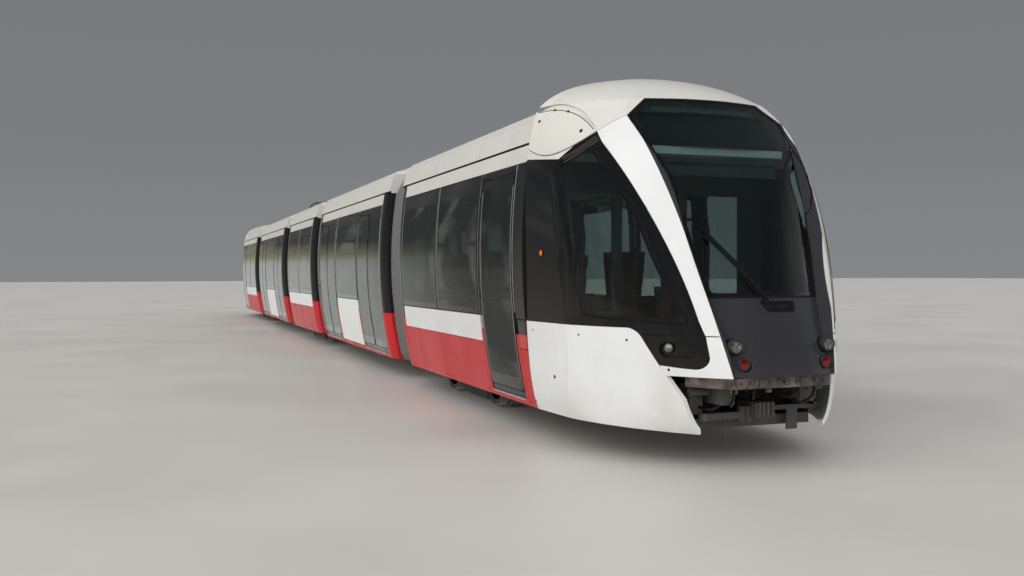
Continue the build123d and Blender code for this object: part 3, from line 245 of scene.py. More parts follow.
wheel_steel = steel("wheel_steel", rgb(52, 47, 44), rgb(78, 72, 67), 0.5, 0.5)
bellows_rubber = plastic("bellows_rubber", rgb(104, 104, 101), 0.72, 420.0, 0.0006)
seat_plastic = plastic("seat_plastic", rgb(112, 46, 48), 0.5, patches=[
    (rgb(84, 88, 86), (*back_wall, 0.3)), (rgb(34, 36, 38), (back_wall[1], 16.5, 0.3)),
    (rgb(150, 152, 150), (-1.0, back_wall[0], 1.78)),
])
pantograph_steel = steel("pantograph_steel", rgb(110, 112, 114), rgb(140, 138, 134), 0.45, 0.3)
lamp_glass = glass("lamp_glass", (0.85, 0.86, 0.84, 1))
black_rubber = plastic("black_rubber", rgb(9, 9, 10), 0.6, 380.0, 0.0005)
grey_rubber = plastic("grey_rubber", rgb(150, 150, 146), 0.6, 380.0, 0.0005)
brown_rubber = plastic("brown_rubber", rgb(72, 62, 56), 0.6, 380.0, 0.0005)
dark_plastic = plastic("dark_plastic", rgb(14, 14, 15), 0.45)
liner_plastic = plastic("liner_plastic", rgb(92, 108, 110), 0.5)
grey_plastic = plastic("grey_plastic", rgb(62, 74, 74), 0.45)
pale_plastic = plastic("pale_plastic", rgb(222, 230, 230), 0.5)
bright_metal = steel("bright_metal", rgb(220, 220, 218), rgb(196, 195, 192), 0.3, 0.7, 60.0, 0.0004)
bolt_steel = steel("bolt_steel", rgb(92, 88, 83), rgb(118, 112, 105), 0.5, 0.6, 60.0, 0.0006)
mirror_metal = steel("mirror_metal", rgb(232, 232, 230), rgb(222, 222, 220), 0.16, 1.0, 40.0, 0.0002)
red_lens = lens("red_lens", rgb(196, 18, 22))
orange_lens = lens("orange_lens", rgb(250, 120, 30), 0.3)
clear_lens = lens("clear_lens", (0.94, 0.95, 0.94, 1), 1.0)
seat_cloth = fabric("seat_cloth", rgb(112, 40, 44), rgb(54, 56, 64))
copper_carbon = steel("copper_carbon", rgb(60, 56, 54), rgb(84, 70, 60), 0.5, 0.2, 30.0)

finish_of = {
    "white_panels": white_paint, "roof": cream_paint, "red_panels": red_paint, "side_panels": side_paint,
    "windows": side_glass, "side_surround": black_gloss, "nose": charcoal_paint, "lamps": lamp_glass,
    "walls": frame_black, "doors": door_black, "underframe": underframe_steel, "bogie_frame": bogie_steel,
    "wheelset": wheel_steel, "bellows": bellows_rubber, "interior": seat_plastic,
    "pantograph": pantograph_steel,
}
for name, node in nodes.items():
    node.data.materials.clear()
    node.data.materials.append(next(material for word, material in finish_of.items() if word in name))


# Mesh helpers
class Shape:
    """Vertices and faces gathered for one piece"""

    def __init__(self):
        self.points = []
        self.faces = []

    def add(self, points, faces):
        base = len(self.points)
        self.points += [Vector(p) for p in points]
        self.faces += [tuple(base + i for i in face) for face in faces]
        return self

    def rings(self, rings, around=True, along=False, caps=True):
        """Skin over rows of points: around closes each row, along joins the last row to the first"""
        count = len(rings[0])
        faces = []
        for i in range(len(rings) if along else len(rings) - 1):
            a, b = i * count, (i + 1) % len(rings) * count
            for j in range(count if around else count - 1):
                k = (j + 1) % count
                faces.append((a + j, a + k, b + k, b + j))
        if caps and around and not along:
            faces.append(tuple(range(count)))
            faces.append(tuple(range((len(rings) - 1) * count, len(rings) * count)))
        return self.add([p for ring in rings for p in ring], faces)

    def turned(self, centre, axis, profile, steps=20, caps=True):
        """Round part from (radius, height) pairs along axis; without caps its ends stay open"""
        axis = Vector(axis).normalized()
        across = axis.orthogonal().normalized()
        other = axis.cross(across)
        rings = []
        for radius, height in profile:
            middle = Vector(centre) + axis * height
            spokes = [across * math.cos(a) + other * math.sin(a) for a in turn_steps(steps)]
            rings.append([middle + spoke * max(radius, 1e-5) for spoke in spokes])
        return self.rings(rings, caps=caps)

    def box(self, low, high, bevel=0.004, turn=None):
        """Box with chamfered edges between two corners; turn is a matrix applied about its middle"""
        middle = (Vector(low) + Vector(high)) / 2
        half = (Vector(high) - Vector(low)) / 2
        bevel = min(bevel, *(h * 0.9 for h in half))
        index, points = {}, []
        signs = [(a, b, c) for a in (-1, 1) for b in (-1, 1) for c in (-1, 1)]
        for sign in signs:
            for axis in range(3):
                p = Vector(sign[i] * (half[i] - (0 if i == axis else bevel)) for i in range(3))
                index[sign, axis] = len(points)
                points.append(middle + (turn @ p if turn else p))
        faces = [tuple(index[sign, axis] for axis in range(3)) for sign in signs]

        def corner(axis, u, v, side, at_u, at_v):
            """One of the box's corners by its sides along an axis and the two others"""
            sign = [0, 0, 0]
            sign[axis], sign[u], sign[v] = side, at_u, at_v
            return tuple(sign)

        square = ((-1, -1), (1, -1), (1, 1), (-1, 1))
        for axis in range(3):
            u, v = [i for i in range(3) if i != axis]
            for side in (-1, 1):
                faces.append(tuple(index[corner(axis, u, v, side, *spot), axis] for spot in square))
            for spot in square:
                first, second = corner(axis, u, v, -1, *spot), corner(axis, u, v, 1, *spot)
                faces.append((index[first, u], index[second, u], index[second, v], index[first, v]))
        return self.add(points, faces)

    def cushion(self, centre, half, turn, power=0.4, steps=18):
        """Crowned rounded pad, a superellipsoid"""
        def bent(value):
            return math.copysign(abs(value) ** power, value)

        rings = []
        for i in range(steps + 1):
            lift = math.pi * (i / steps - 0.5)
            rise, width = bent(math.sin(lift)), bent(math.cos(lift))
            ring = []
            for a in turn_steps(2 * steps):
                x, y = half[0] * width * bent(math.cos(a)), half[1] * width * bent(math.sin(a))
                ring.append(Vector(centre) + turn @ Vector((x, y, half[2] * rise)))
            rings.append(ring)
        return self.rings(rings)

    def sweep(self, path, profile, closed=False):
        """Bar along a path of (point, normal) pairs; profile is (across, out) pairs, mitred at corners"""
        points = [p for p, n in path]
        count = len(points)
        rings = []
        for i, (point, normal) in enumerate(path):
            arriving = (point - points[i - 1]).normalized() if i or closed else None
            leaving = (points[(i + 1) % count] - point).normalized() if i < count - 1 or closed else arriving
            arriving = arriving or leaving
            tangent = (arriving + leaving).normalized()
            across = tangent.cross(normal).normalized() / max(0.45, tangent.dot(leaving))
            rings.append([point + across * u + normal * v for u, v in profile])
        return self.rings(rings, along=closed)

    def tube(self, points, radius, steps=10):
        """Round bar through points"""
        path = [Vector(p) for p in points]
        rings = []
        for i, point in enumerate(path):
            tangent = (path[min(i + 1, len(path) - 1)] - path[max(i - 1, 0)]).normalized()
            across = tangent.cross(Vector((0.13, 0.21, 0.97))).normalized()
            other = tangent.cross(across)
            spokes = [across * math.cos(a) + other * math.sin(a) for a in turn_steps(steps)]
            rings.append([point + spoke * radius for spoke in spokes])
        return self.rings(rings)

    def bolt(self, point, normal, radius=0.009):
        """Hexagon head on a washer"""
        washer, head = radius * 1.5, radius * 0.8
        self.turned(point, normal, [(washer, -0.001), (washer, radius * 0.2), (0, radius * 0.2)], 14)
        return self.turned(point, normal, [(radius, 0), (radius, head), (head, radius), (0, radius)], 6)

    def mirrored(self, axis):
        flip = Vector([-1 if i == axis else 1 for i in range(3)])
        return Shape().add([p * flip for p in self.points], self.faces)

    def doubled(self):
        """Adds its own mirror image on the tram's other side"""
        copy = self.mirrored(1)
        return self.add(copy.points, copy.faces)


def turn_steps(count):
    """Angles of evenly spaced points round a circle"""
    return [2 * math.pi * i / count for i in range(count)]


def wide(radius, profile):
    """Profile of a round part from (share of its radius, height) pairs"""
    return [(radius * share, height) for share, height in profile]


def piece(shape, name, material, body, crease=38):
    """One object from a shape, shaded smooth up to the crease angle, riding on a body"""
    mesh = bpy.data.meshes.new(name)
    mesh.from_pydata(shape.points, [], shape.faces)
    tidy = bmesh.new()
    tidy.from_mesh(mesh)
    bmesh.ops.remove_doubles(tidy, verts=tidy.verts, dist=2e-6)
    bmesh.ops.recalc_face_normals(tidy, faces=tidy.faces)
    tidy.to_mesh(mesh)
    tidy.free()
    mesh.polygons.foreach_set("use_smooth", [True] * len(mesh.polygons))
    mesh.set_sharp_from_angle(angle=math.radians(crease))
    mesh.materials.append(material)
    made = bpy.data.objects.new(name, mesh)
    scene.collection.objects.link(made)
    if body:
        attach(made, body)
    return made


def at_both_ends(shape, name, material, body="cab_module"):
    """The front piece and its mirror image at the rear"""
    return [
        piece(shape, f"{name}_front", material, f"{body}_front"),
        piece(shape.mirrored(0), f"{name}_rear", material, f"{body}_rear"),
    ]


def on_module(module, shape, name, material):
    """One piece on the centre module, or one at each end on the modules that come twice"""
    if module == "centre":
        return [piece(shape, f"centre_{name}", material, "centre_module")]
    return at_both_ends(shape, f"{module}_{name}", material, f"{module}_module")


class Skin:
    """Rays onto CAD nodes: the point where a line meets them, and the surface's direction there"""

    def __init__(self, *names):
        self.trees = []
        for name in names:
            mesh = nodes[name].data
            corners = [v.co for v in mesh.vertices]
            self.trees.append(BVHTree.FromPolygons(corners, [tuple(p.vertices) for p in mesh.polygons]))

    def first_hit(self, origin, direction):
        """Point and normal of the nearest hit of a ray, or None"""
        hits = [tree.ray_cast(Vector(origin), Vector(direction)) for tree in self.trees]
        return min((hit for hit in hits if hit[0]), key=lambda hit: hit[3], default=None)

    def hit(self, origin, direction, fallback):
        """The nearest hit, or the surface's nearest point to a fallback where the ray misses"""
        best = self.first_hit(origin, direction) or min(
            (tree.find_nearest(Vector(fallback)) for tree in self.trees), key=lambda near: near[3])
        point, normal = best[:2]
        return point, normal if normal.dot(Vector(direction)) < 0 else -normal

    def side(self, x, z):
        """On the right-hand side of the body"""
        return self.hit((x, -3, z), (0, 1, 0), (x, -1.25, z))

    def front(self, y, z):
        return self.hit((20, y, z), (-1, 0, 0), (15.6, y, z))


def cab_skin(*parts):
    return Skin(*(f"cab_{part}_front" for part in parts))


def module_skin(module, end="_front"):
    names = [name for name in nodes if name.startswith(module) and name.endswith(end)]
    return Skin(*(n for n in names if any(w in n for w in ("walls", "windows", "doors", "_panels"))))


def lifted(spot, amount):
    point, normal = spot
    return point + normal * amount, normal


def outline(points, radii, margin=0.0, step=0.05, corner_steps=6):
    """Closed 2-D outline drawn in by margin, with rounded corners; as many points for any margin"""
    corners = [Vector(p) for p in points]
    count = len(corners)
    turn = 1 if sum(corners[i - 1].cross(corners[i]) for i in range(count)) > 0 else -1
    inset = []
    for i, corner in enumerate(corners):
        arriving = (corner - corners[i - 1]).normalized()
        leaving = (corners[(i + 1) % count] - corner).normalized()
        first, second = (Vector((-run.y, run.x)) * turn for run in (arriving, leaving))
        inset.append((corner + (first + second) * margin / (1 + first.dot(second)), arriving, leaving))
    loop = []
    for i, (corner, arriving, leaving) in enumerate(inset):
        following = inset[(i + 1) % count][0]
        if radii[i]:
            start, end = corner - arriving * radii[i], corner + leaving * radii[i]
            for k in range(corner_steps + 1):
                t = k / corner_steps
                loop.append(start * (1 - t) ** 2 + corner * 2 * t * (1 - t) + end * t * t)
        else:
            loop.append(corner)
        pieces = max(1, round((corners[(i + 1) % count] - corners[i]).length / step))
        before = loop[-1]
        after = following - leaving * radii[(i + 1) % count]
        loop += [before.lerp(after, k / pieces) for k in range(1, pieces)]
    return loop


def sheet(shape, first, second, place, lift=0.0006, across=4, closed=False):
    """Thin sheet on a surface between two lines or two outlines with as many points"""
    rows = []
    for k in range(across + 1):
        spots = [Vector(a).lerp(Vector(b), k / across) for a, b in zip(first, second)]
        rows.append([lifted(place(*spot), lift)[0] for spot in spots])
    return shape.rings(rows, around=closed, caps=False)


def filler(shape, rear, front, low, high, place, back=0.001):
    """Upright strip across a joint, from the surface on one side of it to the surface on the other"""
    rows, steps, beside = [], 24, 0.006
    for k in range(steps + 1):
        z = low + (high - low) * k / steps
        ends = [place(rear - beside, z)[0], place(front + beside, z)[0]]
        rows.append([Vector((x, end.y + back, z)) for x, end in zip((rear, front), ends)])
    return shape.rings(rows, around=False)


def bead(shape, loop, place, width, height, closed=False):
    """Half-round rubber or metal strip along a line or, closed, an outline on a surface"""
    half, foot = width / 2, -0.002
    profile = [(-half, foot), (-half, height * 0.5), (-half * 0.5, height), (half * 0.5, height),
               (half, height * 0.5), (half, foot)]
    return shape.sweep([place(*p) for p in loop], profile, closed)


def line(start, end, steps):
    start, end = Vector(start), Vector(end)
    return [start.lerp(end, k / steps) for k in range(steps + 1)]


def rectangle(low, high):
    return [(low[0], low[1]), (high[0], low[1]), (high[0], high[1]), (low[0], high[1])]


def arc_points(first, middle, last, steps):
    """Points on the circle through three points, from the first to the last"""
    (ax, ay), (bx, by), (cx, cy) = first, middle, last
    d = 2 * (ax * (by - cy) + bx * (cy - ay) + cx * (ay - by))
    squares = [ax * ax + ay * ay, bx * bx + by * by, cx * cx + cy * cy]
    x = (squares[0] * (by - cy) + squares[1] * (cy - ay) + squares[2] * (ay - by)) / d
    y = (squares[0] * (cx - bx) + squares[1] * (ax - cx) + squares[2] * (bx - ax)) / d
    radius = math.hypot(ax - x, ay - y)
    start, end = math.atan2(ay - y, ax - x), math.atan2(cy - y, cx - x)
    if end - start > math.pi:
        end -= 2 * math.pi
    if start - end > math.pi:
        end += 2 * math.pi
    angles = [start + (end - start) * k / steps for k in range(steps + 1)]
    return [(x + radius * math.cos(a), y + radius * math.sin(a)) for a in angles]


def spaced(path, pieces):
    """Evenly spaced points along a path, both its ends included"""
    path = [Vector(p) for p in path]
    lengths = [0.0]
    for a, b in zip(path, path[1:]):
        lengths.append(lengths[-1] + (b - a).length)
    spots, k = [], 0
    for i in range(pieces + 1):
        want = lengths[-1] * i / pieces
        while k < len(path) - 2 and lengths[k + 1] < want:
            k += 1
        share = (want - lengths[k]) / max(lengths[k + 1] - lengths[k], 1e-9)
        spots.append(path[k].lerp(path[k + 1], share))
    return spots


# Front glass: printed border and seal
glass_skin, nose_skin, front_skin = cab_skin("windows"), cab_skin("nose"), cab_skin("windows", "nose")
windscreen_arc = [p for p in arc_points((0.388, 0.730), (0.550, 1.650), (0.741, 2.810), 40) if p[1] > 1.33]
windscreen_arc = [(0.4975, 1.3165)] + windscreen_arc
right_edge = windscreen_arc + [(0.538, 2.977)]
windscreen_loop = right_edge + [(-y, z) for y, z in reversed(right_edge)]
bottom_radius, top_radius = 0.03, 0.05
edge_radii = [bottom_radius] + [0] * (len(windscreen_arc) - 2) + [top_radius] * 2
windscreen_radii = edge_radii + edge_radii[::-1]
border_width, border_gap = 0.030, 0.004

border, seal = Shape(), Shape()
sheet(border, outline(windscreen_loop, windscreen_radii, border_gap),
      outline(windscreen_loop, windscreen_radii, border_gap + border_width), glass_skin.front, closed=True)
at_both_ends(border, "windscreen_border", black_gloss)
bead(seal, outline(windscreen_loop, windscreen_radii, 0.001), front_skin.front, 0.016, 0.005, closed=True)
at_both_ends(seal, "windscreen_seal", black_rubber)

# Side strips of the nose panel: they close the slot between its middle, the windscreen and the white pillars
slot_skin = cab_skin("windows", "nose", "white_panels")
slot_bottom, slot_top, slot_rows = 0.745, 2.955, 60


def slot_edges(z):
    """Both edges of the slot at one height, as points on the panels"""
    edge = before = None
    for k in range(140):
        hit = slot_skin.first_hit((20, -0.30 - 0.0035 * k, z), (-1, 0, 0))
        on_panel = hit and hit[0].x > 14.9 and (before is None or hit[0].x > before.x - 0.12)
        if on_panel and edge:
            return edge, hit[0]
        if on_panel:
            before = hit[0]
        elif before and not edge:
            edge = before
    return None


def steady(points):
    """For each point, whether its y is close to the mean of its neighbours'"""
    triples = zip(points[:1] + points, points, points[1:] + points[-1:])
    return [abs(point.y - (before.y + after.y) / 2) < 0.006 for before, point, after in triples]


levels = [slot_bottom + (slot_top - slot_bottom) * k / slot_rows for k in range(slot_rows + 1)]
found = [edges for edges in map(slot_edges, levels) if edges]
overlap, proud = 0.006, Vector((0.0012, 0, 0))
rows = []
for (inner, outer), *fair in zip(found, *(steady([edges[i] for edges in found]) for i in (0, 1))):
    if all(fair):
        across = (outer - inner).normalized() * overlap
        rows.append([(inner - across + proud).lerp(outer + across + proud, j / 4) for j in range(5)])
# The lamp's opening hides the slot's lower end, so one row is carried on below it
rows.insert(0, [p + (p - q) * 4 for p, q in zip(rows[0], rows[1])])
side_strips = Shape().rings(rows, around=False)
at_both_ends(side_strips.doubled(), "nose_side_strips", charcoal_paint)

# Cab side glass: printed border, and the seals along the pillar and the door post
side_loop = [(14.53, 2.43), (14.90, 2.56), (15.40, 2.023), (15.77, 1.291), (15.85, 1.115), (15.02, 1.165)]
side_radii = [0.05, 0.06, 0.08, 0.06, 0.05, 0.05]
surround_skin = cab_skin("side_surround", "windows")
pillar_skin = cab_skin("side_surround", "windows", "white_panels")
side_border, side_seal, pillar_trim, pillar_strip = (Shape() for _ in range(4))
sheet(side_border, outline(side_loop, side_radii, border_gap),
      outline(side_loop, [r * 1.4 for r in side_radii], 0.028), glass_skin.side, closed=True)
at_both_ends(side_border.doubled(), "side_glass_border", black_gloss)
bead(side_seal, outline(side_loop, side_radii, -0.002), surround_skin.side, 0.012, 0.004, closed=True)
pillar_line = [(14.86, 2.672), (15.455, 2.012), (15.83, 1.285), (15.925, 1.06)]
pillar_curve = arc_points(pillar_line[0], (15.461, 2.018), pillar_line[-1], 48)
pillar_inside = [p for a, b in zip(pillar_line, pillar_line[1:]) for p in line(a, b, 16)[:16]]
pillar_inside.append(Vector(pillar_line[-1]))
sheet(pillar_strip, pillar_curve, [p - Vector((0.03, 0.02)) for p in pillar_inside], pillar_skin.side, 0.0015)
bead(pillar_trim, pillar_curve, pillar_skin.side, 0.012, 0.004)
at_both_ends(pillar_strip.doubled(), "pillar_edge_strip", black_gloss)
at_both_ends(side_seal.doubled(), "side_glass_seal", black_rubber)
at_both_ends(pillar_trim.doubled(), "pillar_trim", black_rubber)

# Seams across the cab panels, as dark fillets in their joints
seams = Shape()
body_skin = cab_skin("side_surround", "white_panels")
post_skin = cab_skin("side_surround", "walls", "red_panels", "white_panels")
bead(seams, line((15.55, 1.03), (16.024, 1.03), 24), body_skin.side, 0.007, 0.0012)
bead(seams, line((14.063, 1.0815), (15.43, 1.0815), 24), body_skin.side, 0.007, 0.001)
filler(seams, 14.030, 14.072, 1.09, 2.495, post_skin.side)
at_both_ends(seams.doubled(), "cab_seams", black_rubber)

# Fixing holes in the skirts, the ear plates and the hooks, as (x, z, radius)
holes = Shape()
hole_skin = cab_skin("white_panels", "roof", "side_surround")
hole_profile = ((1.25, 0.0002), (1.15, 0.0012), (1, 0.0004), (0.9, -0.004), (0, -0.004))
for x, z, radius in (
    (14.538, 0.615, 0.014), (14.173, 1.001, 0.008), (14.950, 1.001, 0.008), (15.421, 0.981, 0.008),
    (14.067, 0.351, 0.008), (15.726, 0.768, 0.009), (14.122, 2.869, 0.012), (14.719, 2.710, 0.014),
):
    holes.turned(*hole_skin.side(x, z), wide(radius, hole_profile), 18)
at_both_ends(holes.doubled(), "fixing_holes", dark_plastic)

# Ear plates of the roof: the dark joint under the channel with its clips, lower lip with a painted shadow
# line under it, weather strip below
ear_skin = cab_skin("roof")
ear_joints_and_shadow, ear_lip, ear_strip = Shape(), Shape(), Shape()
gap_line = arc_points((14.075, 2.953), (14.440, 2.918), (14.835, 2.708), 36)
bead(ear_joints_and_shadow, gap_line, ear_skin.side, 0.007, 0.0012)
for k in (9, 17):
    spot, _ = ear_skin.side(*gap_line[k])
    ear_joints_and_shadow.box(spot + Vector((-0.022, -0.006, -0.010)), spot + Vector((0.022, 0.006, 0.008)), 0.003)
lip_line = arc_points((14.062, 2.637), (14.573, 2.560), (14.862, 2.692), 36)
bead(ear_lip, lip_line, ear_skin.side, 0.020, 0.009)
# The dark line just under the lip is a painted shadow of the lip
bead(ear_joints_and_shadow, [(x, z - 0.014) for x, z in lip_line], ear_skin.side, 0.005, 0.0012)
strip_line = [(14.60, 2.484)] + arc_points((14.655, 2.505), (14.760, 2.552), (14.895, 2.650), 16)
for shift in (0.0, 0.018, 0.036):
    bead(ear_strip, [(x + shift, z - shift) for x, z in strip_line], surround_skin.side, 0.012, 0.004)
at_both_ends(ear_joints_and_shadow.doubled(), "ear_joints_and_lip_shadow", black_rubber)
at_both_ends(ear_lip.doubled(), "ear_lips", cream_paint)
at_both_ends(ear_strip.doubled(), "ear_weather_strips", brown_rubber)

# Nose lamps: bezel, reflector bowl, bulb, shield and lens facing ahead, each in a dish of the nose that is
# drawn flat, its hollow as a dark sheet of painted shade
ahead = Vector((1, 0, 0))
bezel_profile = ((1.02, -0.05), (1.02, 0.002), (1.10, 0.005), (1.17, 0.0), (1.18, -0.05))
shield_profile = ((1, -0.001), (0.84, -0.004), (0.80, -0.009), (0.84, -0.012))
bulb_profile = [(0.007, -0.036), (0.012, -0.028), (0.014, -0.018), (0.009, -0.010), (0, -0.007)]
for kind, x, y, z, radius, lens_material in (
    ("headlight", 16.101, 0.412, 0.958, 0.048, clear_lens),
    ("tail_light", 16.130, 0.364, 0.825, 0.040, red_lens),
):
    centre = Vector((x, y, z))
    bezel, dish_shade, edge, shield, bowl, bulb, cover = (Shape() for _ in range(7))
    bezel.turned(centre, ahead, wide(radius, bezel_profile), 40)
    shield.turned(centre, ahead, wide(radius, shield_profile), 40, caps=False)
    shield.turned(centre, ahead, wide(radius, ((0.15, -0.016), (0.15, -0.006), (0, -0.004))))
    for angle in (20, 140, 260):
        turn = Matrix.Rotation(math.radians(angle), 3, "X")
        middle = centre + turn @ Vector((-0.009, radius * 0.42, 0))
        half = Vector((0.003, radius * 0.36, 0.0045))
        shield.box(middle - half, middle + half, 0.001, turn)
    bowl_profile = [(radius * 0.84 * math.sin(a), -0.008 - radius * 0.6 * math.cos(a))
                    for a in (1.5, 1.3, 1.1, 0.9, 0.7, 0.5, 0.3, 0.15)]
    bowl.turned(centre, ahead, bowl_profile + [(radius * 0.1, -0.036)], 40, caps=False)
    outside, inside = (
        [(radius * share * math.cos(a), height + 0.010 * math.sin(a)) for a in (0.2, 0.5, 0.8, 1.1, 1.4)]
        for share, height in ((1.01, 0.0), (0.97, -0.003))
    )
    cover_profile = [(radius * 1.01, -0.002)] + outside + [(0, 0.010), (0, 0.007)] + inside[::-1]
    cover.turned(centre, ahead, cover_profile, 40)
    bulb.turned(centre, ahead, bulb_profile, 16)
    turns = [math.radians(k) for k in range(-100, 101, 8)]
    dish = [(y - radius * (0.35 + 1.35 * math.cos(a)), z + radius * (1.45 * math.sin(a) - 0.12))
            for a in turns]
    lip = [(y - radius * 1.12 * math.cos(a), z + radius * 1.12 * math.sin(a)) for a in turns]
    # The rim line round the dish is lighter grey than the nose as a painted highlight on its edge
    bead(edge, dish, nose_skin.front, 0.006, 0.003)
    # The dish is not hollowed: the very dark sheet inside its rim is painted shade
    sheet(dish_shade, dish, lip, nose_skin.front)
    for shape, part, material, slot in (
        (bezel, "bezel", charcoal_paint, None), (dish_shade, "dish_shade", dark_plastic, None),
        (edge, "dish_rim_highlight", grey_plastic, None), (shield, "shield", dark_plastic, None),
        (bowl, "bowl", bright_metal, "lamp_lens"), (bulb, "bulb", pale_plastic, "lamp_lens"),
        (cover, "cover", lens_material, None),
    ):
        made = at_both_ends(shape.doubled(), f"{kind}_{part}", material)
    if kind == "headlight":
        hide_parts("cab_lamps_front")
        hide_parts("cab_lamps_rear")

# Corner lamp in its oval recess, and the marker that stands proud behind the cab's side glass
for kind, x, z, radius, stand, material in (
    ("corner_lamp", 15.713, 0.935, 0.034, 0.022, clear_lens),
    ("marker", 14.385, 1.682, 0.026, 0.006, orange_lens),
):
    spot = body_skin.side(x, z)
    rim, bowl, cover = Shape(), Shape(), Shape()
    rim.turned(*spot, wide(radius, ((1.02, -0.002), (1.02, stand), (1.10, stand + 0.003), (1.18, stand),
                                    (1.2, -0.002))), 32)
    bowl_profile = ((1, stand), (0.8, stand * 0.45), (0.4, stand * 0.1), (0, 0.0005))
    bowl.turned(*spot, wide(radius, bowl_profile), 32, caps=False)
    dome = [(math.cos(a), stand + 0.009 * math.sin(a)) for a in (0.3, 0.6, 0.9, 1.2, 1.5)]
    cover.turned(*spot, wide(radius, [(1, stand)] + dome), 32)
    at_both_ends(rim.doubled(), f"{kind}_rim", dark_plastic)
    at_both_ends(bowl.doubled(), f"{kind}_bowl", mirror_metal)
    at_both_ends(cover.doubled(), f"{kind}_lens", material)
recess_x, recess_z, recess_radius, recess_half = 15.782, 0.922, 0.059, 0.061
oval = []
for degrees in range(5, 365, 10):
    a = math.radians(degrees)
    end = recess_x + math.copysign(recess_half, math.cos(a))
    oval.append((end + recess_radius * math.cos(a), recess_z + recess_radius * math.sin(a)))
recess_rim = bead(Shape(), oval, surround_skin.side, 0.006, 0.002, closed=True)
at_both_ends(recess_rim.doubled(), "lamp_recess_rim", black_gloss)

# Wiper: motor hatch under the windscreen, arm and blade lying up across the glass
wiper, hatch, hatch_floor = Shape(), Shape(), Shape()
hatch_loop = [(-0.105, 1.285), (0.200, 1.285), (0.200, 1.209), (-0.060, 1.209)]
lid_loop = rectangle((-0.010, 1.221), (0.165, 1.273))
for loop, radii, bead_size, edges, lift, across in (
    (hatch_loop, [0.008, 0.012, 0.012, 0.02], (0.007, 0.005), (0.002, 0.034), 0.0012, 3),
    (lid_loop, [0.008] * 4, (0.009, 0.012), (0.003, 0.022), 0.004, 2),
):
    bead(hatch, outline(loop, radii), nose_skin.front, *bead_size, closed=True)
    outer, inner = (outline(loop, radii, margin) for margin in edges)
    sheet(hatch_floor, outer, inner, nose_skin.front, lift, across, closed=True)
for y in (0.02, 0.135):
    spot, normal = nose_skin.front(y, 1.247)
    hatch.bolt(spot + normal * 0.004, normal, 0.007)
shaft, normal = nose_skin.front(-0.062, 1.283)
wiper.turned(shaft - normal * 0.01, normal, [(0.026, 0), (0.026, 0.024), (0.017, 0.036), (0, 0.038)], 24)
arm_line = line((-0.050, 1.290), (-0.449, 1.791), 16)
blade_line = line((-0.100, 1.400), (-0.450, 1.840), 16)
wiper.sweep([lifted(front_skin.front(*p), 0.036) for p in arm_line],
            [(-0.012, 0), (-0.009, 0.010), (0.009, 0.010), (0.012, 0)])
wiper.sweep([lifted(glass_skin.front(*p), 0.013) for p in blade_line],
            [(-0.010, 0.008), (-0.004, 0.016), (0.004, 0.016), (0.010, 0.008), (0.002, 0), (0.0015, -0.011),
             (-0.0015, -0.011), (-0.002, 0)])
link_ends = (front_skin.front(*arm_line[15]), 0.040), (glass_skin.front(*blade_line[12]), 0.028)
wiper.tube([lifted(*end)[0] for end in link_ends], 0.008)
at_both_ends(hatch, "wiper_hatch", dark_plastic)
at_both_ends(hatch_floor, "wiper_hatch_floor", black_rubber)
at_both_ends(wiper, "wiper", black_rubber)

# Saloon sides: seals, sills, latches and buttons, from the openings' own places
pane_bottom, pane_top, leaf_bottom, leaf_top, joint_top = 1.088, 2.507, 0.397, 2.418, 2.505


def frit(shape, outer, inner, place, count=104):
    """Printed border between two outlines that may have different counts of points"""
    loops = [spaced(loop + loop[:1], count)[:-1] for loop in (outer, inner)]
    sheet(shape, *loops, place, 0.0008, closed=True)


def saloon_trim(panes, leaves, doorways, panels, seam_places, place):
    """Printed borders, seals round the panes and door leaves, sills, panel seams, latches, door buttons"""
    borders, seals, rubbers, sills, latches = (Shape() for _ in range(5))
    for low, high in panes:
        opening = rectangle((low, pane_bottom), (high, pane_top))
        inner = outline(rectangle((low + 0.05, 1.15), (high - 0.05, 2.33)), [0.05] * 4, 0.0, 0.12)
        frit(borders, outline(opening, [0.012] * 4, 0.003, 0.12), inner, place)
        bead(rubbers, outline(opening, [0.012] * 4, 0.001, 0.12), place, 0.007, 0.0025, closed=True)
        for x in (low, high):
            bead(seals, line((x, 1.09), (x, joint_top), 12), place, 0.008, 0.0035)
    for low, high in leaves:
        loop = outline(rectangle((low + 0.021, leaf_bottom), (high - 0.021, leaf_top)), [0.03] * 4, 0.0, 0.12)
        inner = outline(rectangle((low + 0.085, 0.52), (high - 0.085, 2.34)), [0.05] * 4, 0.0, 0.12)
        bead(rubbers, loop, place, 0.008, 0.003, closed=True)
        frit(borders, loop, inner, place)
    for x in seam_places:
        bead(rubbers, line((x, 0.28), (x, 0.808), 10), place, 0.012, 0.001)
    for low, high in doorways:
        for x, inward in ((low, 0.034), (high, -0.034)):
            filler(rubbers, x - 0.022, x + 0.022, 0.40, 2.49, place)
            bead(seals, line((x, 0.34), (x, joint_top), 16), place, 0.010, 0.005)
            bead(seals, line((x + inward, 0.42), (x + inward, 2.44), 16), place, 0.006, 0.003)
        y = place((low + high) / 2, 0.30)[0].y
        sills.box((low + 0.02, y - 0.012, 0.315), (high - 0.02, y + 0.06, 0.333), 0.004)
        button = [(0.030, -0.001), (0.030, 0.004), (0.024, 0.008), (0, 0.009)]
        latches.turned(*place(low - 0.035, 1.28), button, 28)
    for x in panels:
        latches.turned(*place(x, 0.318), [(0.011, -0.001), (0.011, 0.002), (0.006, 0.0026), (0, 0.0026)], 16)
    return (
        ("glass_borders", borders, black_gloss), ("seals", seals, grey_rubber),
        ("pane_rubbers", rubbers, black_rubber), ("sills", sills, bright_metal),
        ("latches", latches, dark_plastic),
    )


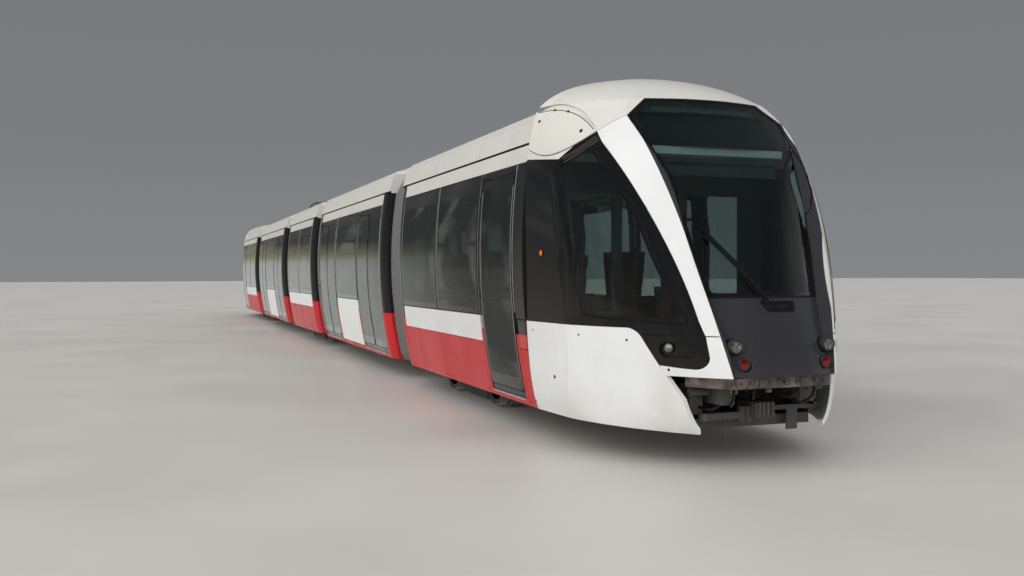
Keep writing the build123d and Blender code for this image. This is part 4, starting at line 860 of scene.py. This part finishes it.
cab_door = ((12.86, 13.80),)
suspended_leaves = ((2.98, 3.81), (3.81, 4.64), (6.61, 7.44), (7.44, 8.27))
for module, trim in (
    ("cab", saloon_trim(((9.633, 11.227), (11.293, 12.777)), cab_door, cab_door,
                        (9.72, 11.17, 11.35, 12.72, 13.9), (11.26,), module_skin("cab").side)),
    ("suspended", saloon_trim(((4.713, 6.537),), suspended_leaves, ((2.98, 4.64), (6.61, 8.27)),
                              (4.75, 5.55, 5.70, 6.50), (), module_skin("suspended").side)),
    ("centre", saloon_trim(((-1.717, -0.033), (0.033, 1.717)), (), (), (-1.65, -0.08, 0.08, 1.65), (0.0,),
                           module_skin("centre", "").side)),
):
    for name, shape, material in trim:
        if shape.points:
            on_module(module, shape.doubled(), name, material)


# Roof: black line in the groove, seams across the fairings, fixings and cables of the equipment boxes
def roof_trim(rear, front, seam_places, units, skin):
    """Parts on one module's roof between two stations"""
    strips, seams_across, fixings = Shape(), Shape(), Shape()
    strips.box((rear + 0.004, -1.2365, 2.6655), (front - 0.004, -1.2085, 2.6895), 0.003)
    for x in seam_places:
        bead(seams_across, line((x, 2.70), (x, 2.985), 8), skin.side, 0.006, 0.0008)
    for low, high in units:
        count = max(2, round((high - low) / 0.3))
        for k in range(count + 1):
            x = low + 0.07 + (high - low - 0.14) * k / count
            fixings.bolt(Vector((x, -0.735, 3.115)), Vector((0, 0, 1)), 0.010)
            fixings.bolt(Vector((x, -0.820, 3.02)), Vector((0, -1, 0)), 0.009)
        for x in (low + 0.15, high - 0.15):
            half_turn = turn_steps(24)[:13]
            arch = [(x + 0.045 * math.cos(a), -0.66, 3.113 + 0.045 * math.sin(a)) for a in half_turn]
            fixings.tube(arch, 0.008)
        for z in (2.80, 2.86, 2.92):
            fixings.tube([(low + 0.05, -0.845, z), (high - 0.05, -0.845, z)], 0.011)
        for x in (low + 0.2, (low + high) / 2, high - 0.2):
            fixings.box((x - 0.02, -0.865, 2.775), (x + 0.02, -0.819, 2.945), 0.004)
    return (("roof_line", strips, black_rubber), ("roof_seams", seams_across, grey_rubber),
            ("roof_fixings", fixings, bolt_steel))


for module, node, rear, front, seam_places, units in (
    ("cab", "cab_roof_front", 9.35, 14.048, (10.9, 12.58), ((9.7, 11.5), (11.7, 13.5))),
    ("suspended", "suspended_roof_front", 2.70, 8.55, (4.65, 6.60), ((3.4, 5.4), (5.8, 7.9))),
    ("centre", "centre_roof", -2.0, 2.0, (0.0,), ((-1.85, -1.2), (1.15, 1.85))),
):
    for name, shape, material in roof_trim(rear, front, seam_places, units, Skin(node)):
        on_module(module, shape.doubled(), name, material)

# Pantograph: carbon strips, insulators under its frame, springs beside the lower arm
strips, insulators, springs = Shape(), Shape(), Shape()
for x in (-0.72, -0.40):
    strips.box((x - 0.020, -0.62, 3.180), (x + 0.020, 0.62, 3.196), 0.005)
    for side in (-1, 1):
        horn = ((0.78, 3.165), (0.86, 3.150), (0.93, 3.105), (0.96, 3.04))
        strips.tube([(x, side * y, z) for y, z in horn], 0.012)
sheds = [(radius, 2.672 + k * 0.020 + rise) for k in range(5)
         for radius, rise in ((0.062, 0), (0.078, 0.006), (0.078, 0.010), (0.062, 0.016))]
for x in (-0.9, 0.8):
    for y in (-0.365, 0.365):
        insulators.turned((x, y, 0), (0, 0, 1), sheds, 24)
coils, coil_steps, coil_radius, coil_length, spring_z = 14, 12, 0.028, 0.62, 2.895
for y in (-0.27, 0.27):
    coil = []
    for k in range(coils * coil_steps + 1):
        a = 2 * math.pi * k / coil_steps
        coil.append((-0.60 + coil_length * k / (coils * coil_steps), y + coil_radius * math.cos(a),
                     spring_z + coil_radius * math.sin(a)))
    springs.tube(coil, 0.006, 6)
    springs.tube([(-0.66, y, spring_z), (0.10, y, spring_z)], 0.009)
piece(strips, "pantograph_carbon_strips", copper_carbon, "pantograph_head")
piece(insulators, "pantograph_insulators", brown_rubber, "centre_module")
piece(springs, "pantograph_springs", pantograph_steel, "centre_module")

# Wheels and bogies: hub bolts and caps, axle box covers, bolts on the frames
axle_height, outward = 0.32, Vector((0, -1, 0))


def bolt_circle(shape, x, y, count, circle, size):
    for a in turn_steps(count):
        shape.bolt(Vector((x + circle * math.cos(a), y, axle_height + circle * math.sin(a))), outward, size)


def hub_parts(x):
    hub = Shape()
    bolt_circle(hub, x, -0.8305, 8, 0.078, 0.009)
    rim = [(0.296, -0.004), (0.296, 0.003), (0.288, 0.005), (0.282, 0.003), (0.282, -0.004)]
    return hub.turned((x, -0.8155, axle_height), outward, rim, 48).doubled()


def bogie_parts(x, axles):
    cover = Shape()
    cap = [(0.085, 0.0), (0.085, 0.018), (0.060, 0.024), (0.056, 0.034), (0, 0.036)]
    for axle in axles:
        cover.turned((axle, -0.9905, axle_height), outward, cap, 32)
        bolt_circle(cover, axle, -1.0085, 6, 0.073, 0.006)
    for step in (-4, -3, -2, -1, 1, 2, 3, 4):
        cover.bolt(Vector((x + step * 0.12, -0.9903, 0.375)), outward, 0.010)
    pipe = ((-0.95, 0.285), (-0.5, 0.272), (0, 0.268), (0.5, 0.272), (0.95, 0.285))
    return cover.tube([(x + along, -1.002, z) for along, z in pipe], 0.010).doubled()


for place, x in (("outer", 11.9), ("inner", 10.3)):
    at_both_ends(hub_parts(x), f"cab_hub_bolts_{place}", bolt_steel, f"cab_wheelset_{place}")
at_both_ends(hub_parts(0.8), "centre_hub_bolts", bolt_steel, "centre_wheelset")
on_module("cab", bogie_parts(11.1, (10.3, 11.9)), "axle_covers", bogie_steel)
on_module("centre", bogie_parts(0, (-0.8, 0.8)), "axle_covers", bogie_steel)

# Under the nose: bolts on the beam and brackets, air hoses, pipe clips
beam, hoses = Shape(), Shape()
for y in (-0.37, -0.29, -0.12, 0.0):
    beam.bolt(Vector((16.0952, y, 0.681)), ahead, 0.012)
beam.box((16.0945, -0.215, 0.650), (16.103, -0.150, 0.712), 0.003)
beam.box((16.0945, -0.060, 0.655), (16.101, 0.0, 0.700), 0.003)
for y in (-0.49, -0.57):
    for z in (0.44, 0.535):
        beam.bolt(Vector((15.7205, y, z)), ahead, 0.010)
for x in (15.62, 15.66):
    beam.box((x, -0.5935, 0.425), (x + 0.014, -0.5895, 0.55), 0.001)
for z in (0.415, 0.47):
    beam.bolt(Vector((15.893, -0.06, z)), ahead, 0.007)
for radius, route in (
    (0.013, [(15.98, -0.36, 0.645), (15.985, -0.365, 0.60), (15.97, -0.36, 0.55), (15.93, -0.345, 0.51),
             (15.88, -0.32, 0.49), (15.83, -0.29, 0.50), (15.80, -0.26, 0.53), (15.80, -0.25, 0.58),
             (15.82, -0.25, 0.645)]),
    (0.011, [(15.99, -0.20, 0.645), (16.0, -0.20, 0.61), (15.99, -0.19, 0.575), (15.95, -0.17, 0.55),
             (15.90, -0.15, 0.56), (15.87, -0.14, 0.60), (15.87, -0.14, 0.645)]),
    (0.012, [(15.90, -0.44, 0.50), (15.86, -0.47, 0.47), (15.80, -0.49, 0.46), (15.72, -0.50, 0.47)]),
):
    hoses.tube(route, radius)
at_both_ends(beam.doubled(), "nose_beam_bolts", bolt_steel)
at_both_ends(hoses.doubled(), "nose_hoses", black_rubber)


# Bellows: folded fabric with a metal strip on each fold
def gangway_loop(x, inset):
    """Closed outline of the gangway at one station, drawn in from the body's sides"""
    body_side = arc_points((1.165, 0.275), (1.325, 1.470), (1.248, 2.665), 24)
    side = [(y - inset, z) for y, z in body_side if z > 0.30]
    top = [(1.140 - inset, 2.972 - inset), (1.000 - inset, 2.990 - inset), (0.0, 2.990 - inset)]
    half = spaced([(0.0, 0.260), (side[0][0] - 0.05, 0.262)] + side + top, 90)
    return [(x, y, z) for y, z in half] + [(x, -y, z) for y, z in reversed(half[1:-1])]


def bellows(node, low, high):
    """Folded fabric ring and its bright fold strips between two modules"""
    folds, fold_steps, thickness, crest, depth = 5, 8, 0.022, 0.150, 0.036
    stations = folds * fold_steps
    fabric_ring, strips = Shape(), Shape()
    rows = []
    for layer, steps in ((0.0, range(stations + 1)), (thickness, range(stations, -1, -1))):
        for k in steps:
            fold = abs(math.sin(math.pi * (k / fold_steps % 1))) ** 0.7
            rows.append(gangway_loop(low + (high - low) * k / stations, crest - depth * fold + layer))
    fabric_ring.rings(rows, along=True)
    for k in range(folds + 1):
        x = min(max(low + (high - low) * k / folds, low + 0.012), high - 0.012)
        outer = 0.136 if 0 < k < folds else 0.112
        corners = ((-0.010, 0.152), (-0.010, outer), (0.010, outer), (0.010, 0.152))
        strips.rings([gangway_loop(x + along, inset) for along, inset in corners], along=True)
    for shape, kind, material in ((fabric_ring, "fabric", bellows_rubber), (strips, "strips", bright_metal)):
        made = piece(shape, f"{node}_{kind}", material, None, crease=50)
        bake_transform(made)
        if kind == "fabric":
            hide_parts(node)


bellows("inner_bellows_front", 2.002, 2.698)
bellows("outer_bellows_front", 8.552, 9.348)
bellows("inner_bellows_rear", -2.698, -2.002)
bellows("outer_bellows_rear", -9.348, -8.552)


# Cab inside, seen through the glass: header, roller blind, desk instruments, seat cushions
def behind_glass(low, high, half_width, back, thickness=0.015):
    """Panel that follows the windscreen at a distance behind it"""
    rows = []
    for k in range(7):
        z = low + (high - low) * k / 6
        across = [glass_skin.front(half_width * (j / 8 - 1), z)[0] for j in range(17)]
        face, rear = ([p - Vector((depth, 0, 0)) for p in across] for depth in (back, back + thickness))
        rows.append(face + rear[::-1])
    return Shape().rings(rows)


at_both_ends(behind_glass(2.552, 2.862, 0.62, 0.10), "cab_header_panel", dark_plastic)
at_both_ends(behind_glass(2.866, 2.94, 0.50, 0.07), "cab_header_band", liner_plastic)
header, blind, desk = Shape(), Shape(), Shape()
header.box((15.155, -0.640, 2.482), (15.195, 0.640, 2.546), 0.006)
blind.turned((15.16, -0.6, 2.435), (0, 1, 0), [(0.024, 0), (0.024, 1.2)])
blind.box((15.145, -0.60, 2.32), (15.149, 0.60, 2.43), 0.001)
blind.box((15.140, -0.60, 2.312), (15.154, 0.60, 2.322), 0.003)
for k in range(5):
    y = -0.52 + k * 0.16
    desk.box((15.30 + k * 0.002, y, 1.165), (15.33, y + 0.10, 1.185), 0.006)
screen_lean = Matrix.Rotation(math.radians(-18), 3, "Y")
desk.box((15.42, 0.05, 1.17), (15.45, 0.36, 1.36), 0.012, screen_lean)
desk.box((15.42, -0.36, 1.17), (15.45, -0.12, 1.33), 0.012, screen_lean)
lever = [(0.030, 0), (0.022, 0.02), (0.010, 0.03), (0.009, 0.10), (0.024, 0.12), (0.022, 0.15), (0, 0.16)]
desk.turned((15.27, -0.46, 1.09), (0, 0, 1), lever)
at_both_ends(header, "cab_header_bar", pale_plastic)
at_both_ends(blind, "cab_roller_blind", grey_plastic)
at_both_ends(desk, "cab_instruments", dark_plastic)


def seat_cushions(seats):
    """Seat and back pads on the shells, from each seat's (x, y, facing, floor)"""
    pads = Shape()
    for x, y, facing, floor in seats:
        top = floor + 0.44
        tilt, lean = (Matrix.Rotation(math.radians(degrees * facing), 3, "Y") for degrees in (-2.5, -12.5))
        pads.cushion((x + facing * 0.225, y, top + 0.030), (0.205, 0.205, 0.024), tilt)
        pads.cushion((x - facing * 0.035, y, top + 0.30), (0.022, 0.195, 0.235), lean)
    return pads


seat_rows, bogie_floor, low_floor = (-0.8, 0.8), 0.745, 0.375
cab_places = ((10.33, 1), (10.27, -1), (11.93, 1), (11.87, -1))
for module, seats in (
    ("cab", [(x, y, f, bogie_floor) for y in seat_rows for x, f in cab_places] + [(14.64, 0, 1, low_floor)]),
    ("suspended", [(x, y, f, low_floor) for y in seat_rows for x, f in ((5.2, 1), (6.05, -1))]),
    ("centre", [(x, y, f, bogie_floor) for y in seat_rows for x, f in ((0.83, -1), (-0.83, 1))]),
):
    for made in on_module(module, seat_cushions(seats), "seat_cushions", seat_cloth):
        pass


# Floor, light and camera
def sky(world, height, *stops):
    """Colour that runs through (height, colour) stops, heights from -1 below to 1 above"""
    blend = world.add("ValToRGB", {0: world.ramp(height, -1, 1)})
    elements = blend.color_ramp.elements
    for element, (level, colour) in zip(elements, (stops[0], stops[-1])):
        element.position, element.color = (level + 1) / 2, colour
    for level, colour in stops[1:-1]:
        elements.new((level + 1) / 2).color = colour
    return blend.outputs[0]


def hall_in_mirrors(world):
    """What glossy rays find: a dim hall with uprights and rails, a bright doorway and a pale wall beside"""
    height, across = world.axis("Z"), world.axis("Y")
    dark = sky(world, height, (-1.0, rgb(96, 93, 90)), (-0.06, rgb(120, 117, 112)), (0.05, rgb(76, 78, 76)),
               (0.35, rgb(64, 68, 72)), (1.0, rgb(64, 68, 74)))
    pale = sky(world, height, (-1.0, rgb(130, 126, 120)), (-0.06, rgb(176, 172, 160)),
               (0.05, rgb(150, 152, 144)), (0.35, rgb(104, 110, 112)), (1.0, rgb(60, 64, 66)))
    outdoors = sky(world, height, (0.0, rgb(206, 208, 204)), (0.02, rgb(198, 198, 188)),
                   (0.026, rgb(150, 145, 118)), (1.0, rgb(140, 136, 112)))
    wall = sky(world, height, (-0.25, rgb(150, 148, 142)), (-0.05, rgb(206, 214, 204)),
               (1.0, rgb(188, 198, 190)))
    uprights = world.mix(world.ramp(world.noise(1.0, stretch=(46, 46, 4)), 0.50, 0.62), dark, pale)
    hall = world.mix(world.ramp(world.noise(1.0, stretch=(3, 3, 30)), 0.50, 0.60), uprights, dark)
    doorway = world.math("MULTIPLY", world.ramp(across, -0.30, -0.20), world.ramp(height, 0.055, 0.03))
    return world.mix(world.ramp(across, 0.78, 0.97), world.mix(doorway, hall, outdoors), wall)


def studio():
    """Plain pale floor, soft lamps from above and from the camera's left, a grey hall's surroundings"""
    bpy.ops.mesh.primitive_plane_add(size=400, location=(0, 0, 0))
    floor = bpy.context.object
    floor.name = "floor"
    s = Shader("floor")
    cloud = s.noise(0.35, 6.0, 0.6)
    floor.data.materials.append(s.set(
        Base_Color=s.mix(s.ramp(cloud, 0.3, 0.75), rgb(198, 193, 187), rgb(206, 201, 195)),
        Roughness=s.ramp(cloud, 0.3, 0.7, 0.4, 0.55), Normal=s.bump(s.noise(30.0, 4.0), 0.002, 0.3),
    ))
    floor.visible_glossy = False
    for name, strength, spread, pitch, turn in (
        ("key_lamp", 2.15, 70, 70, 15), ("top_lamp", 0.6, 80, 8, 60), ("front_lamp", 0.5, 60, 62, 100),
    ):
        lamp = bpy.data.lights.new(name, "SUN")
        lamp.energy = strength
        lamp.angle = math.radians(spread)
        holder = bpy.data.objects.new(name, lamp)
        holder.rotation_euler = (math.radians(pitch), 0, math.radians(turn))
        holder.visible_glossy = holder.visible_transmission = False
        scene.collection.objects.link(holder)
    scene.world = bpy.data.worlds.new("hall")
    scene.world.use_nodes = True
    world = Tree(scene.world.node_tree, "Generated")
    ambient = world.tree.nodes["Background"]
    world.put(ambient.inputs["Color"], (0.93, 0.96, 1.0, 1))
    world.put(ambient.inputs["Strength"], 0.55)
    backdrop = sky(world, world.axis("Z"), (0.0, rgb(132, 135, 136)), (0.12, rgb(124, 127, 129)),
                   (1.0, rgb(96, 99, 102)))
    shown, mirrored = (world.add("Background", {0: c}).outputs[0] for c in (backdrop, hall_in_mirrors(world)))
    path = world.add("LightPath").outputs
    seen = world.math("MAXIMUM", path["Is Camera Ray"], path["Is Transmission Ray"])
    unseen = world.mix_shaders(path["Is Glossy Ray"], ambient.outputs[0], mirrored)
    world.put(world.tree.nodes["World Output"].inputs[0], world.mix_shaders(seen, unseen, shown))


def photo_camera():
    """The photograph's viewpoint, ahead of the front cab and to its right at standing height"""
    focal_pixels, image_width = 969.4, 1024
    yaw, pitch, roll = math.radians(20.47), math.radians(-0.85), math.radians(-0.14)
    data = bpy.data.cameras.new("photo_camera")
    data.sensor_width = 36
    data.lens = focal_pixels / image_width * data.sensor_width
    data.clip_end = 500
    camera = bpy.data.objects.new("photo_camera", data)
    scene.collection.objects.link(camera)
    view = Vector((-math.cos(yaw) * math.cos(pitch), math.sin(yaw) * math.cos(pitch), math.sin(pitch)))
    turn = view.to_track_quat("-Z", "Y").to_matrix().to_4x4() @ Matrix.Rotation(roll, 4, "Z")
    camera.matrix_world = Matrix.Translation((22.212, -4.464, 1.503)) @ turn
    scene.camera = camera


studio()
photo_camera()
